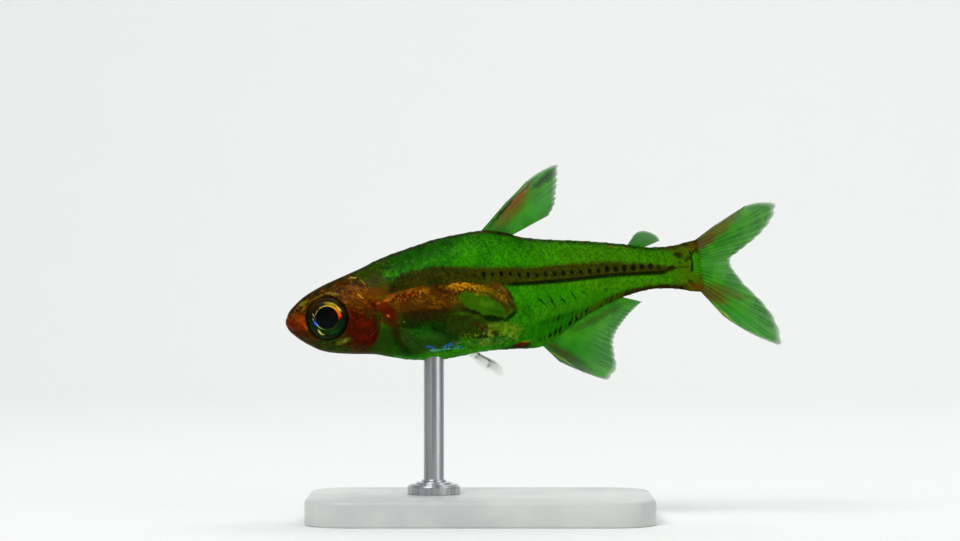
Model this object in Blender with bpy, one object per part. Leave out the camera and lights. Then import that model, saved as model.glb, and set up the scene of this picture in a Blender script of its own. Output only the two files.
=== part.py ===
"""An ember tetra, a small aquarium fish, modelled life size and held on a plain display stand.

Lengths are in millimetres and each mesh is turned to metres as it is stored. The fish has a frame of
its own: u runs back from the tip of the snout along the body, y runs across with the left flank at
minus y, and w runs up. An empty carries that frame, tilted so that the head is a little low.
"""

import math

import bmesh
import bpy
import numpy as np
from mathutils import Matrix, Vector

MM = 0.001

# The pose and the stand
HEAD_DOWN = math.radians(7.77)
SNOUT_HEIGHT = 9.8
BODY_CENTRE_U = 9.6
BASE_LENGTH = 17.0
BASE_WIDTH = 10.0
BASE_THICK = 1.3
BASE_CORNER = 2.2
BASE_EDGE = 0.25
ROD_RADIUS = 0.5
ROD_SIDES = 20
ROD_FOOT_RADIUS = 1.3
ROD_FOOT_HEIGHT = 0.5
ROD_U = 6.9

# The room left between neighbouring pieces
GAP = 0.28

# The body seen from the side and from above, as places along it and heights or half widths there
NOSE_U = -0.08
HEAD_END = 4.72
TORSO_END = 11.95
TAIL_END = 20.1
BACK = (
    (NOSE_U, -0.06), (0.1, 0.28), (0.5, 0.72), (1.0, 1.07), (2.0, 1.5), (3.0, 1.8), (4.0, 2.1),
    (5.0, 2.43), (6.5, 2.76), (8.0, 3.02), (10.0, 3.12), (11.0, 2.93), (12.0, 2.52), (13.0, 2.28),
    (15.0, 1.92), (17.0, 1.48), (18.2, 1.17), (19.2, 1.1), (TAIL_END, 1.2),
)
BELLY = (
    (NOSE_U, -0.06), (0.0, -0.36), (0.25, -0.7), (0.5, -0.97), (1.0, -1.38), (1.5, -1.68), (2.0, -1.85),
    (3.0, -2.05), (4.0, -2.2), (5.0, -2.5), (6.0, -2.75), (7.5, -2.9), (9.5, -2.79), (11.0, -2.88),
    (12.0, -2.97), (13.0, -2.6), (14.0, -2.05), (15.0, -1.58), (16.0, -1.22), (17.0, -0.97),
    (18.0, -0.87), (19.0, -0.98), (TAIL_END, -1.28),
)
HALF_WIDTH = (
    (NOSE_U, 0.0), (0.1, 0.36), (0.5, 0.66), (1.0, 0.86), (2.0, 1.08), (3.0, 1.22), (4.0, 1.31),
    (5.5, 1.38), (7.5, 1.37), (9.5, 1.27), (11.5, 1.07), (13.5, 0.84), (15.5, 0.63), (17.5, 0.45),
    (TAIL_END, 0.3),
)
WIDEST_HEIGHT = (
    (NOSE_U, -0.06), (1.0, -0.15), (3.0, -0.3), (6.0, -0.2), (10.0, 0.0), (15.0, 0.1), (TAIL_END, 0.0),
)
BACK_ROUNDNESS = 1.85
BELLY_ROUNDNESS = ((NOSE_U, 2.0), (6.0, 2.0), (11.0, 1.85), (13.0, 1.6), (TAIL_END, 1.8))

# The head
EYE_U = 2.03
EYE_W = -0.14
EYE_RADIUS = 1.0
EYE_HALF_DEPTH = 0.56
EYE_Y = 0.7
EYE_BACK_Y = 0.44
RIM_HEIGHT = 0.05
RIM_WIDTH = 0.15
MOUTH_END = (0.62, -0.4)
MOUTH_OPEN = 0.09
LIP_HEIGHT = 0.05
LIP_WIDTH = 0.11
NOSTRILS = ((0.6, 0.4, 0.09), (0.78, 0.56, 0.11))
GILL_CENTRE = (2.75, -0.5)
GILL_REACH = (1.78, 1.45)
GILL_TURN = (62, -72)
GILL_RAISE = 0.07
GILL_SWELL = 0.9
GILL_EDGE = 18
GILL_SLIT = 0.1
GILL_SLIT_DEPTH = 0.32
GILL_SLIT_LEAN = 0.18

# Fins in the middle plane. A base runs from the first ray to the last, as places along the body or, on
# the tail, as heights. Lengths and slopes in degrees are given at fractions of the way along the base
DORSAL = {
    "rays": 11,
    "steps": 8,
    "base": (10.4, 11.87),
    "length": ((0.0, 1.55), (0.1, 2.8), (0.2, 4.35), (0.3, 4.0), (0.6, 3.0), (0.8, 2.45), (1.0, 1.7)),
    "slope": ((0.0, 42), (0.1, 42.5), (0.2, 36), (0.3, 33.5), (0.6, 27), (1.0, 20)),
}
ADIPOSE = {
    "rays": 4,
    "steps": 4,
    "base": (17.3, 18.0),
    "length": ((0.0, 0.3), (0.4, 0.55), (0.75, 0.75), (1.0, 0.7)),
    "slope": ((0.0, 70), (0.5, 40), (1.0, 12)),
}
ANAL = {
    "rays": 20,
    "steps": 7,
    "base": (12.5, 16.95),
    "length": (
        (0.0, 0.9), (0.05, 2.0), (0.1, 3.15), (0.16, 3.1), (0.25, 2.55), (0.4, 1.75), (0.6, 1.25), (1.0, 0.5),
    ),
    "slope": ((0.0, -52), (0.1, -42), (0.2, -34), (0.4, -30), (1.0, -20)),
}
UPPER_LOBE = {
    "rays": 10,
    "steps": 9,
    "base": (1.17, 0.15),
    "length": ((0.0, 1.35), (0.11, 3.1), (0.22, 4.5), (0.33, 4.25), (0.56, 3.35), (0.78, 2.4), (1.0, 1.65)),
    "slope": ((0.0, 30), (0.11, 29), (0.22, 20), (0.5, 11), (1.0, 1)),
}
LOWER_LOBE = {
    "rays": 9,
    "steps": 9,
    "base": (-1.3, -0.15),
    "length": ((0.0, 1.65), (0.12, 3.4), (0.25, 4.95), (0.37, 4.6), (0.62, 3.4), (0.85, 2.2), (1.0, 1.65)),
    "slope": ((0.0, -56), (0.12, -49.5), (0.25, -44), (0.5, -34), (0.8, -24), (1.0, -8)),
}

# Paired fins. Each base is a line on the flank from the first ray to the last, and "out" is how many
# degrees the fin stands away from the middle plane
PECTORAL = {
    "rays": 10,
    "steps": 6,
    "base": ((5.35, -1.0), (5.5, -1.62)),
    "length": ((0.0, 2.9), (0.15, 3.3), (0.5, 2.7), (1.0, 1.3)),
    "slope": ((0.0, -12), (1.0, -42)),
    "out": 27,
}
PELVIC = {
    "rays": 8,
    "steps": 4,
    "base": ((8.35, -2.42), (8.85, -2.5)),
    "length": ((0.0, 1.5), (0.15, 2.1), (0.5, 1.8), (1.0, 1.0)),
    "slope": ((0.0, -33), (1.0, -20)),
    "out": 18,
}
STALK = 0.55
FIN_THICK = 0.5
FIN_TIP_THICK = 0.2
TAPER_FROM = 0.7
RAY_RAISE = 0.09
RAY_TIP_SHARE = 0.35
WEB_DIP = 0.985


def smooth(points, at):
    """A smooth line through the points, read at one place, with no bulge between them."""
    xs = [p[0] for p in points]
    ys = [p[1] for p in points]
    steps = [(ys[i + 1] - ys[i]) / (xs[i + 1] - xs[i]) for i in range(len(xs) - 1)]
    slopes = [steps[0]]
    for before, after in zip(steps, steps[1:]):
        slopes.append(2 * before * after / (before + after) if before * after > 0 else 0.0)
    slopes.append(steps[-1])
    i = min(max(int(np.searchsorted(xs, at)) - 1, 0), len(xs) - 2)
    span = xs[i + 1] - xs[i]
    t = min(max((at - xs[i]) / span, 0.0), 1.0)
    return (
        ys[i] * (1 + 2 * t) * (1 - t) ** 2
        + ys[i + 1] * t * t * (3 - 2 * t)
        + span * (slopes[i] * t * (1 - t) ** 2 - slopes[i + 1] * t * t * (1 - t))
    )


def rounded_nose(points, u):
    """The same line, drawn against the root of the distance from the nose, which rounds the nose."""
    spread = [(math.sqrt(p[0] - NOSE_U), p[1]) for p in points]
    return smooth(spread, math.sqrt(max(u - NOSE_U, 0.0)))


def section(u):
    """Heights of the back, belly and widest line at u, with the half width there."""
    return (
        rounded_nose(BACK, u),
        rounded_nose(BELLY, u),
        rounded_nose(WIDEST_HEIGHT, u),
        rounded_nose(HALF_WIDTH, u),
    )


def flank(u, w):
    """How far the flank stands out from the middle at a place seen from the side."""
    back, belly, widest, half = section(u)
    rise = back - widest if w > widest else widest - belly
    power = BACK_ROUNDNESS if w > widest else smooth(BELLY_ROUNDNESS, u)
    share = min(abs(w - widest) / max(rise, 1e-6), 1.0)
    return half * (1 - share**power) ** (1 / power)


def flank_normal(u, w, side):
    """The way out of one flank at a place seen from the side."""
    step = 0.05
    along = (flank(u + step, w) - flank(u - step, w)) / (2 * step)
    upward = (flank(u, w + step) - flank(u, w - step)) / (2 * step)
    return Vector((-along, side, -upward)).normalized()


def relief(u, w):
    """How far the rim of the eye, the lips and the gill covers stand up from the plain head."""
    from_socket = math.hypot(u - EYE_U, w - EYE_W) - EYE_RADIUS - GAP
    rim = RIM_HEIGHT * math.exp(-(((from_socket - RIM_WIDTH / 2) / RIM_WIDTH) ** 2))
    along = min(max(u / MOUTH_END[0], 0.0), 1.0)
    from_mouth = math.hypot(u - along * MOUTH_END[0], w - along * MOUTH_END[1])
    lips = LIP_HEIGHT * math.exp(-(((from_mouth - LIP_WIDTH) / LIP_WIDTH) ** 2))
    share = math.hypot((u - GILL_CENTRE[0]) / GILL_REACH[0], (w - GILL_CENTRE[1]) / GILL_REACH[1])
    swell = min(max((u - GILL_CENTRE[0]) / GILL_SWELL, 0.0), 1.0)
    return rim + lips + GILL_RAISE * swell / (1 + math.exp((share - 1) * GILL_EDGE))


def skin(u, turn):
    """A point of the skin. Turn is an angle round the body, 0 at the back and pi at the belly."""
    back, belly, widest, half = section(u)
    up, out = math.cos(turn), math.sin(turn)
    rise = back - widest if up > 0 else widest - belly
    power = BACK_ROUNDNESS if up > 0 else smooth(BELLY_ROUNDNESS, u)
    w = widest + math.copysign(rise * abs(up) ** (2 / power), up)
    y = half * abs(out) ** (2 / power)
    raised = relief(u, w) * abs(out) if u <= HEAD_END else 0.0
    return Vector((u, math.copysign(y + raised, out), w))


def material(name, colour, roughness):
    made = bpy.data.materials.new(name)
    made.use_nodes = True
    shader = made.node_tree.nodes["Principled BSDF"]
    shader.inputs["Base Color"].default_value = (*colour, 1)
    shader.inputs["Roughness"].default_value = roughness
    shader.inputs["Metallic"].default_value = 0.0
    return made


def piece(name, points, faces, origin=(0, 0, 0)):
    """An object in millimetres from points and faces, with its origin where it grows from its neighbour."""
    origin = Vector(origin)
    mesh = bpy.data.meshes.new(name)
    mesh.from_pydata([Vector(p) - origin for p in points], [], faces)
    obj = bpy.data.objects.new(name, mesh)
    obj.location = origin
    bpy.context.scene.collection.objects.link(obj)
    return obj


def cut(obj, cutters):
    """Takes the cutters out of a piece, one after another."""
    for cutter in cutters:
        modifier = obj.modifiers.new("cut", "BOOLEAN")
        modifier.operation = "DIFFERENCE"
        modifier.solver = "EXACT"
        modifier.object = cutter
        bpy.context.view_layer.update()
        graph = bpy.context.evaluated_depsgraph_get()
        mesh = bpy.data.meshes.new_from_object(obj.evaluated_get(graph))
        obj.modifiers.clear()
        obj.data = mesh
        bpy.data.objects.remove(cutter)


def finish(obj, parent, look, sharp_degrees=40):
    """Stores a piece in metres with its material and its smooth shading, in its parent's frame."""
    mesh = obj.data
    mesh.name = obj.name
    mesh.transform(Matrix.Scale(MM, 4))
    mesh.materials.clear()
    mesh.materials.append(look)
    mesh.shade_smooth()
    mesh.set_sharp_from_angle(angle=math.radians(sharp_degrees))
    obj.location = obj.location * MM
    obj.parent = parent


def loft(name, places, count):
    """A closed length of the body through sections at the places, the ends flat, or a point at the nose."""
    points, faces, rings = [], [], []
    for u in places:
        rings.append(range(len(points), len(points) + count))
        points += [skin(u, 2 * math.pi * k / count) for k in range(count)]
    for one, two in zip(rings, rings[1:]):
        for k in range(count):
            after = (k + 1) % count
            faces.append((one[k], two[k], two[after], one[after]))
    for ring, end, front in ((rings[0], places[0], True), (rings[-1], places[-1], False)):
        back, belly, widest, _ = section(end)
        tip = Vector((NOSE_U, 0, widest)) if front and end < 0 else Vector((end, 0, widest))
        points.append(tip)
        for k in range(count):
            after = (k + 1) % count
            pair = (ring[k], ring[after]) if front else (ring[after], ring[k])
            faces.append((len(points) - 1, *pair))
    obj = piece(name, points, faces)
    return obj


def ellipsoid(name, centre, radii, segments=24, rings=14):
    """A closed egg shape, round or flattened."""
    mesh = bpy.data.meshes.new(name)
    form = bmesh.new()
    bmesh.ops.create_uvsphere(form, u_segments=segments, v_segments=rings, radius=1.0)
    bmesh.ops.rotate(form, matrix=Matrix.Rotation(math.pi / 2, 3, "X"), verts=form.verts)
    bmesh.ops.scale(form, vec=radii, verts=form.verts)
    form.to_mesh(mesh)
    form.free()
    obj = bpy.data.objects.new(name, mesh)
    obj.location = Vector(centre)
    bpy.context.scene.collection.objects.link(obj)
    return obj


def flat_back(obj, y, side):
    """Cuts an egg shape off at a plane across the fish and closes it there."""
    form = bmesh.new()
    form.from_mesh(obj.data)
    where = Vector((0, side * y - obj.location.y, 0))
    everything = form.verts[:] + form.edges[:] + form.faces[:]
    cut_away = bmesh.ops.bisect_plane(
        form, geom=everything, dist=1e-5, plane_co=where, plane_no=(0, -side, 0), clear_outer=True
    )
    rim = [e for e in cut_away["geom_cut"] if isinstance(e, bmesh.types.BMEdge)]
    bmesh.ops.contextual_create(form, geom=rim)
    bmesh.ops.recalc_face_normals(form, faces=form.faces)
    form.to_mesh(obj.data)
    form.free()
    return obj


def eyeball(name, side, more=0.0):
    """A lens-shaped eye, flat at the back, or the room for it where it is made larger."""
    radii = (EYE_RADIUS + more, EYE_HALF_DEPTH + more, EYE_RADIUS + more)
    ball = ellipsoid(name, (EYE_U, side * EYE_Y, EYE_W), radii, 28, 16)
    return flat_back(ball, EYE_BACK_Y - more, side)


def band(name, inner, outer):
    """A closed strip between two rows of point pairs: each pair is the strip's two sides at one place."""
    points, faces = [], []
    for (a, b), (c, d) in zip(inner, outer):
        points += [a, b, d, c]
    for i in range(len(inner) - 1):
        for k in range(4):
            faces.append((4 * i + k, 4 * i + (k + 1) % 4, 4 * i + 4 + (k + 1) % 4, 4 * i + 4 + k))
    faces.append((3, 2, 1, 0))
    last = 4 * (len(inner) - 1)
    faces.append((last, last + 1, last + 2, last + 3))
    obj = piece(name, points, faces)
    form = bmesh.new()
    form.from_mesh(obj.data)
    bmesh.ops.recalc_face_normals(form, faces=form.faces)
    form.to_mesh(obj.data)
    form.free()
    return obj


def gill_slit(side):
    """The slot behind the edge of one gill cover, cut slantwise so that the cover overlaps it."""
    inner, outer = [], []
    steps = 14
    for i in range(steps + 1):
        turn = math.radians(GILL_TURN[0] + (GILL_TURN[1] - GILL_TURN[0]) * i / steps)
        away = Vector((math.cos(turn), 0, math.sin(turn)))
        u = GILL_CENTRE[0] + GILL_REACH[0] * away.x
        w = GILL_CENTRE[1] + GILL_REACH[1] * away.z
        taper = math.sin(math.pi * (i + 0.6) / (steps + 1.2)) ** 0.4
        rim = Vector((u, side * flank(u, w), w))
        deep = Vector((0, -side * GILL_SLIT_DEPTH * taper, 0)) - away * GILL_SLIT_LEAN
        proud = Vector((0, side * (GILL_RAISE + GILL_SLIT_DEPTH), 0)) + away * GILL_SLIT_LEAN
        half = away * (GILL_SLIT * taper / 2)
        inner.append((rim + deep - half, rim + deep + half))
        outer.append((rim + proud - half, rim + proud + half))
    return band("gill_slit", inner, outer)


def mouth_slit():
    """The line of the closed mouth, a thin slot across the snout that runs back and down."""
    inner, outer = [], []
    for share, open_share in ((-0.6, 1.3), (0.0, 1.0), (0.6, 0.8), (1.0, 0.25)):
        place = Vector((MOUTH_END[0] * share, 0, MOUTH_END[1] * max(share, 0.0) ** 1.2))
        half = Vector((0, 0, MOUTH_OPEN * open_share / 2))
        reach = Vector((0, 2.0, 0))
        inner.append((place - reach - half, place - reach + half))
        outer.append((place + reach - half, place + reach + half))
    return band("mouth_slit", inner, outer)


def nostril(u, w, radius, side):
    """One nostril, a small pit in the skin of the snout."""
    return ellipsoid("nostril", (u, side * flank(u, w), w), (radius, radius * 1.1, radius * 0.8), 10, 8)


def head(parent, look):
    """The head to just behind the gill covers, with sockets, mouth, nostrils and gill slits."""
    rings = 27
    reach = math.sqrt(HEAD_END - NOSE_U)
    places = [NOSE_U + (reach * (i + 0.35) / (rings + 0.35)) ** 2 for i in range(rings)]
    made = loft("head", places + [HEAD_END], 44)
    cutters = [mouth_slit()]
    for side in (-1, 1):
        cutters.append(eyeball("socket", side, GAP))
        cutters.append(gill_slit(side))
        cutters += [nostril(*place, side) for place in NOSTRILS]
    cut(made, cutters)
    finish(made, parent, look)


def body_length(name, start, end, rings, count, parent, look):
    """A plain length of the body between two flat ends."""
    places = [start + (end - start) * i / rings for i in range(rings + 1)]
    finish(loft(name, places, count), parent, look)


def fin_sheet(name, rays, origin):
    """A closed sheet over rays that are rows of points, with a ridge along every ray.

    Ridges stand up from both faces and the web between them lies lower. Both faces share one way of
    splitting into triangles, so that they keep apart where the sheet curves.
    """
    columns = [rays[0]]
    for one, two in zip(rays, rays[1:]):
        root = (one[0] + two[0]) / 2
        web = [root + ((a + b) / 2 - root) * WEB_DIP for a, b in zip(one, two)]
        columns += [web, two]
    across, along = len(columns), len(columns[0])
    faces, points = [], []
    for face in (1, -1):
        for i, column in enumerate(columns):
            for j, place in enumerate(column):
                flow = column[min(j + 1, along - 1)] - column[max(j - 1, 0)]
                spread = columns[min(i + 1, across - 1)][j] - columns[max(i - 1, 0)][j]
                share = j / (along - 1)
                taper = min(1.0, (1 - share) / (1 - TAPER_FROM))
                half = (FIN_TIP_THICK + (FIN_THICK - FIN_TIP_THICK) * taper) / 2
                if i % 2 == 0:
                    half += RAY_RAISE * (RAY_TIP_SHARE + (1 - RAY_TIP_SHARE) * taper)
                points.append(place + flow.cross(spread).normalized() * (face * half))

    def at(face, i, j):
        return face * across * along + i * along + j

    for i in range(across - 1):
        for j in range(along - 1):
            for face in (0, 1):
                a, b = at(face, i, j), at(face, i + 1, j)
                c, d = at(face, i + 1, j + 1), at(face, i, j + 1)
                faces += [(a, b, c), (a, c, d)] if face == 0 else [(c, b, a), (d, c, a)]
    edge = [(i, 0) for i in range(across)]
    edge += [(across - 1, j) for j in range(1, along)]
    edge += [(i, along - 1) for i in range(across - 2, -1, -1)]
    edge += [(0, j) for j in range(along - 2, 0, -1)]
    for (i, j), (k, m) in zip(edge, edge[1:] + edge[:1]):
        a, b, c, d = at(0, i, j), at(0, k, m), at(1, k, m), at(1, i, j)
        faces += [(b, a, c), (c, a, d)]
    obj = piece(name, points, faces, origin)
    form = bmesh.new()
    form.from_mesh(obj.data)
    bmesh.ops.recalc_face_normals(form, faces=form.faces)
    form.to_mesh(obj.data)
    form.free()
    return obj


def heading(slope, out, side):
    """The way a ray points, from its slope in degrees and how far it stands out to its side."""
    back = math.cos(math.radians(out))
    turn = math.radians(slope)
    return Vector((math.cos(turn) * back, side * math.sin(math.radians(out)), math.sin(turn) * back))


def median_fin(name, fin, root, parent, look):
    """A fin in the middle plane, from the line that its rays grow from."""
    rays = []
    for i in range(fin["rays"]):
        share = i / (fin["rays"] - 1)
        start, end = fin["base"]
        place = root(start + (end - start) * share)
        reach = heading(smooth(fin["slope"], share), 0, 1) * smooth(fin["length"], share)
        rays.append([place + reach * (j / fin["steps"]) for j in range(fin["steps"] + 1)])
    finish(fin_sheet(name, rays, rays[0][0]), parent, look)


def above_back(u):
    """A root over the back, the gap above it."""
    return Vector((u, 0, rounded_nose(BACK, u) + GAP))


def below_belly(u):
    """A root under the lower edge of the body, the gap below it."""
    return Vector((u, 0, rounded_nose(BELLY, u) - GAP))


def behind_tail(w):
    """A root behind the flat end of the tail, the gap away from it."""
    return Vector((TAIL_END + GAP, 0, w))


def stalked_ray(root, normal, way, length, steps):
    """A ray that leaves the skin straight out and then bends to its own way."""
    turn = root + normal * STALK
    beyond = turn + way * STALK
    points = []
    for j in range(4):
        t = j / 4
        points.append(root * (1 - t) ** 2 + turn * (2 * t * (1 - t)) + beyond * t * t)
    return points + [beyond + way * ((length - STALK) * j / steps) for j in range(steps + 1)]


def paired_fin(name, fin, side, parent, look):
    """A fin on one flank, spread back, down and away from the body."""
    rays = []
    for i in range(fin["rays"]):
        share = i / (fin["rays"] - 1)
        (u0, w0), (u1, w1) = fin["base"]
        u, w = u0 + (u1 - u0) * share, w0 + (w1 - w0) * share
        normal = flank_normal(u, w, side)
        root = Vector((u, side * flank(u, w), w)) + normal * GAP
        way = heading(smooth(fin["slope"], share), fin["out"], side)
        rays.append(stalked_ray(root, normal, way, smooth(fin["length"], share), fin["steps"]))
    finish(fin_sheet(name, rays, rays[0][0]), parent, look)


def to_world(u, w):
    """Where a place in the middle plane of the fish comes in the room, across and up, in millimetres."""
    across = math.cos(HEAD_DOWN) * u - math.sin(HEAD_DOWN) * w
    up = math.sin(HEAD_DOWN) * u + math.cos(HEAD_DOWN) * w
    return across - math.cos(HEAD_DOWN) * BODY_CENTRE_U, up + SNOUT_HEIGHT


def stand_base(look):
    """The flat foot: a plate with round corners and a softened top edge, its underside at height 0."""
    obj = piece("stand_base", [], [])
    form = bmesh.new()
    bmesh.ops.create_cube(form, size=1.0)
    bmesh.ops.scale(form, vec=(BASE_LENGTH, BASE_WIDTH, BASE_THICK), verts=form.verts)
    bmesh.ops.translate(form, vec=(0, 0, BASE_THICK / 2), verts=form.verts)
    upright = [e for e in form.edges if abs(e.verts[0].co.z - e.verts[1].co.z) > BASE_THICK / 2]
    bmesh.ops.bevel(form, geom=upright, offset=BASE_CORNER, segments=6, profile=0.5, affect="EDGES")
    top = [e for e in form.edges if min(v.co.z for v in e.verts) > BASE_THICK - 1e-4]
    bmesh.ops.bevel(form, geom=top, offset=BASE_EDGE, segments=2, profile=0.5, affect="EDGES")
    form.to_mesh(obj.data)
    form.free()
    finish(obj, None, look)


def stand_rod(look):
    """The upright rod: a low foot, a plain shaft and a flat top just under the belly."""
    x, belly = to_world(ROD_U, rounded_nose(BELLY, ROD_U))
    foot, top = BASE_THICK + GAP, belly - GAP
    outline = (
        (ROD_FOOT_RADIUS, foot),
        (ROD_FOOT_RADIUS, foot + ROD_FOOT_HEIGHT * 0.6),
        (ROD_FOOT_RADIUS * 0.8, foot + ROD_FOOT_HEIGHT),
        (ROD_RADIUS, foot + ROD_FOOT_HEIGHT * 1.4),
        (ROD_RADIUS, top),
    )
    points, faces = [], []
    for radius, z in outline:
        for k in range(ROD_SIDES):
            turn = 2 * math.pi * k / ROD_SIDES
            points.append((radius * math.cos(turn), radius * math.sin(turn), z))
    for low in range(0, len(points) - ROD_SIDES, ROD_SIDES):
        for k in range(ROD_SIDES):
            after = (k + 1) % ROD_SIDES
            faces.append((low + k, low + after, low + ROD_SIDES + after, low + ROD_SIDES + k))
    faces.append(tuple(range(ROD_SIDES))[::-1])
    faces.append(tuple(range(len(points) - ROD_SIDES, len(points))))
    obj = piece("stand_rod", points, faces)
    obj.location = (x, 0, 0)
    finish(obj, None, look)


def fish_frame():
    """The empty that tilts the fish and holds its snout above the floor."""
    frame = bpy.data.objects.new("fish_frame", None)
    x, z = to_world(0.0, 0.0)
    frame.location = (x * MM, 0, z * MM)
    frame.rotation_euler = (0, -HEAD_DOWN, 0)
    bpy.context.scene.collection.objects.link(frame)
    return frame


def build():
    for obj in list(bpy.data.objects):
        bpy.data.objects.remove(obj)
    flesh = material("flesh", (0.22, 0.3, 0.03), 0.35)
    cheek = material("cheek", (0.45, 0.12, 0.02), 0.35)
    web = material("fin", (0.5, 0.45, 0.12), 0.4)
    iris = material("eye", (0.05, 0.05, 0.03), 0.1)
    clear = material("stand", (0.75, 0.78, 0.78), 0.2)
    fish = fish_frame()
    head(fish, cheek)
    for name, side in (("eye_left", -1), ("eye_right", 1)):
        finish(eyeball(name, side), fish, iris)
    body_length("torso", HEAD_END + GAP, TORSO_END, 20, 40, fish, flesh)
    body_length("tail", TORSO_END + GAP, TAIL_END, 20, 36, fish, flesh)
    median_fin("dorsal_fin", DORSAL, above_back, fish, web)
    median_fin("adipose_fin", ADIPOSE, above_back, fish, web)
    median_fin("anal_fin", ANAL, below_belly, fish, web)
    median_fin("caudal_fin_upper", UPPER_LOBE, behind_tail, fish, web)
    median_fin("caudal_fin_lower", LOWER_LOBE, behind_tail, fish, web)
    for word, side in (("left", -1), ("right", 1)):
        paired_fin("pectoral_fin_" + word, PECTORAL, side, fish, web)
        paired_fin("pelvic_fin_" + word, PELVIC, side, fish, web)
    stand_base(clear)
    stand_rod(clear)


build()
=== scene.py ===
# %% [markdown]
# # An ember tetra on a display stand
# This lesson dresses a small fish, 24 mm long, as a museum model maker would. The measured frame comes
# first: plain solids that fix every size and place. Each piece made here takes the place of some of those
# solids and keeps to their outline, with finer forms and a painted finish. All of it is modelled and
# painted by code, so it comes out the same each time.

# %% Load the measured frame
import math

import bmesh
import bpy
import numpy as np
from mathutils import Matrix, Vector


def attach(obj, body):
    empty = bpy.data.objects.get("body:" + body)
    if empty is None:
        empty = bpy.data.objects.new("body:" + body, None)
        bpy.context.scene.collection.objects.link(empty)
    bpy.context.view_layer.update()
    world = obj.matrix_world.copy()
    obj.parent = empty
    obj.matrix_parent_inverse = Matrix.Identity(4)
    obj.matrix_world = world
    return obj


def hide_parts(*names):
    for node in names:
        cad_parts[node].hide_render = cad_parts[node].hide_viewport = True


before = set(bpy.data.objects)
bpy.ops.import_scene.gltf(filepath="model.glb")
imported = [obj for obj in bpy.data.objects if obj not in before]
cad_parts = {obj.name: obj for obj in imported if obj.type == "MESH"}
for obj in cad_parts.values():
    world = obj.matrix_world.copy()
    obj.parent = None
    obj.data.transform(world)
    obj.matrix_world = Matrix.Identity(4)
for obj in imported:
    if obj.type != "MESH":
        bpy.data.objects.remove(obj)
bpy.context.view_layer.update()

MM = 0.001

# %% [markdown]
# ## Places on the fish
# The fish swims with its head 8 degrees lower than its tail, so two systems of measures are handy. On the
# fish, u runs back from the snout, y runs to its right and w runs up, in millimetres. In the room the
# same point is in metres. One matrix takes a whole piece from the fish to the room, and the finished
# piece keeps that place in its mesh, so that its object stays at the origin.

# %% From the fish to the room
HEAD_DOWN = math.radians(7.77)
SNOUT_HEIGHT = 9.8
BODY_CENTRE_U = 9.6
ACROSS, UP = math.cos(HEAD_DOWN), math.sin(HEAD_DOWN)
TO_ROOM = (
    Matrix.Translation((-ACROSS * BODY_CENTRE_U * MM, 0, SNOUT_HEIGHT * MM))
    @ Matrix.Rotation(-HEAD_DOWN, 4, "Y")
    @ Matrix.Scale(MM, 4)
)
snout = TO_ROOM @ Vector((0, 0, 0))
print("snout in the room, mm:", [round(c / MM, 2) for c in snout])

# %% [markdown]
# ## Camera
# A small fish is photographed from some way off with a long lens, which keeps its outline nearly flat.
# The camera looks level across the stand, straight at the left flank. One pixel of the 960 by 541 picture
# spans 0.04917 mm at the fish, and the snout sits at pixel 287, 321, so the camera's place follows from
# those numbers.

# %% Set the camera
PIXEL = 0.04917 * MM
WIDE, HIGH = 960, 541
LENS, SENSOR = 120.0, 36.0
SNOUT_PIXEL = (287, 321)
away = LENS / SENSOR * WIDE * PIXEL
bpy.ops.object.select_all(action="DESELECT")
bpy.ops.object.camera_add(
    location=(
        snout.x + (WIDE / 2 - SNOUT_PIXEL[0]) * PIXEL,
        -away,
        snout.z + (SNOUT_PIXEL[1] - HIGH / 2) * PIXEL,
    ),
    rotation=(math.pi / 2, 0, 0),
)
camera = bpy.context.object
camera.data.lens = LENS
camera.data.sensor_width = SENSOR
camera.data.clip_start = MM
bpy.context.scene.camera = camera
bpy.context.scene.view_settings.view_transform = "Standard"
print("camera is", round(away / MM, 1), "mm from the fish")

# %% [markdown]
# ## Tools of the bench
# Modelling by operators needs three habits: deselect everything before adding a primitive, choose faces
# or edges by their place, and close the mesh when the work is done. These small helpers keep those habits
# in one place.


# %% Helpers for modelling
def fresh():
    """Leaves edit mode and deselects everything, so that the next operator works on its own piece only."""
    if bpy.context.object and bpy.context.object.mode == "EDIT":
        bpy.ops.object.mode_set(mode="OBJECT")
    bpy.ops.object.select_all(action="DESELECT")


def pick(piece, kind, test):
    """In edit mode, selects the faces or edges of a piece whose middle passes the test."""
    bpy.ops.mesh.select_mode(type=kind)
    bpy.ops.mesh.select_all(action="DESELECT")
    form = bmesh.from_edit_mesh(piece.data)
    for part in form.faces if kind == "FACE" else form.edges:
        middle = sum((v.co for v in part.verts), Vector()) / len(part.verts)
        part.select_set(bool(test(middle, part)))
    form.select_flush_mode()
    bmesh.update_edit_mesh(piece.data)


def corners_of(piece):
    """The places of a mesh's corners, as rows of numbers."""
    places = np.empty(len(piece.data.vertices) * 3)
    piece.data.vertices.foreach_get("co", places)
    return places.reshape(-1, 3)


def reshape(piece, places):
    """Moves the corners of a mesh to new places."""
    piece.data.vertices.foreach_set("co", np.asarray(places, float).ravel())
    piece.data.update()


def into_room(piece, name, smooth_degrees=None):
    """Names a piece made in fish millimetres and puts it in the room, the place kept in its mesh."""
    piece.name = piece.data.name = name
    piece.data.transform(TO_ROOM)
    piece.data.update()
    fresh()
    piece.select_set(True)
    bpy.context.view_layer.objects.active = piece
    if smooth_degrees is None:
        bpy.ops.object.shade_smooth()
    else:
        bpy.ops.object.shade_smooth_by_angle(angle=math.radians(smooth_degrees))
    piece.data.calc_loop_triangles()
    print(name, "has", len(piece.data.loop_triangles), "triangles")


# %% [markdown]
# ## Floor
# A photographer lays small things on a sheet of card that sweeps up behind them, so no horizon shows. The
# sheet is a plane whose far edge is extruded upwards and whose corner is bevelled into a wide curve.

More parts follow.
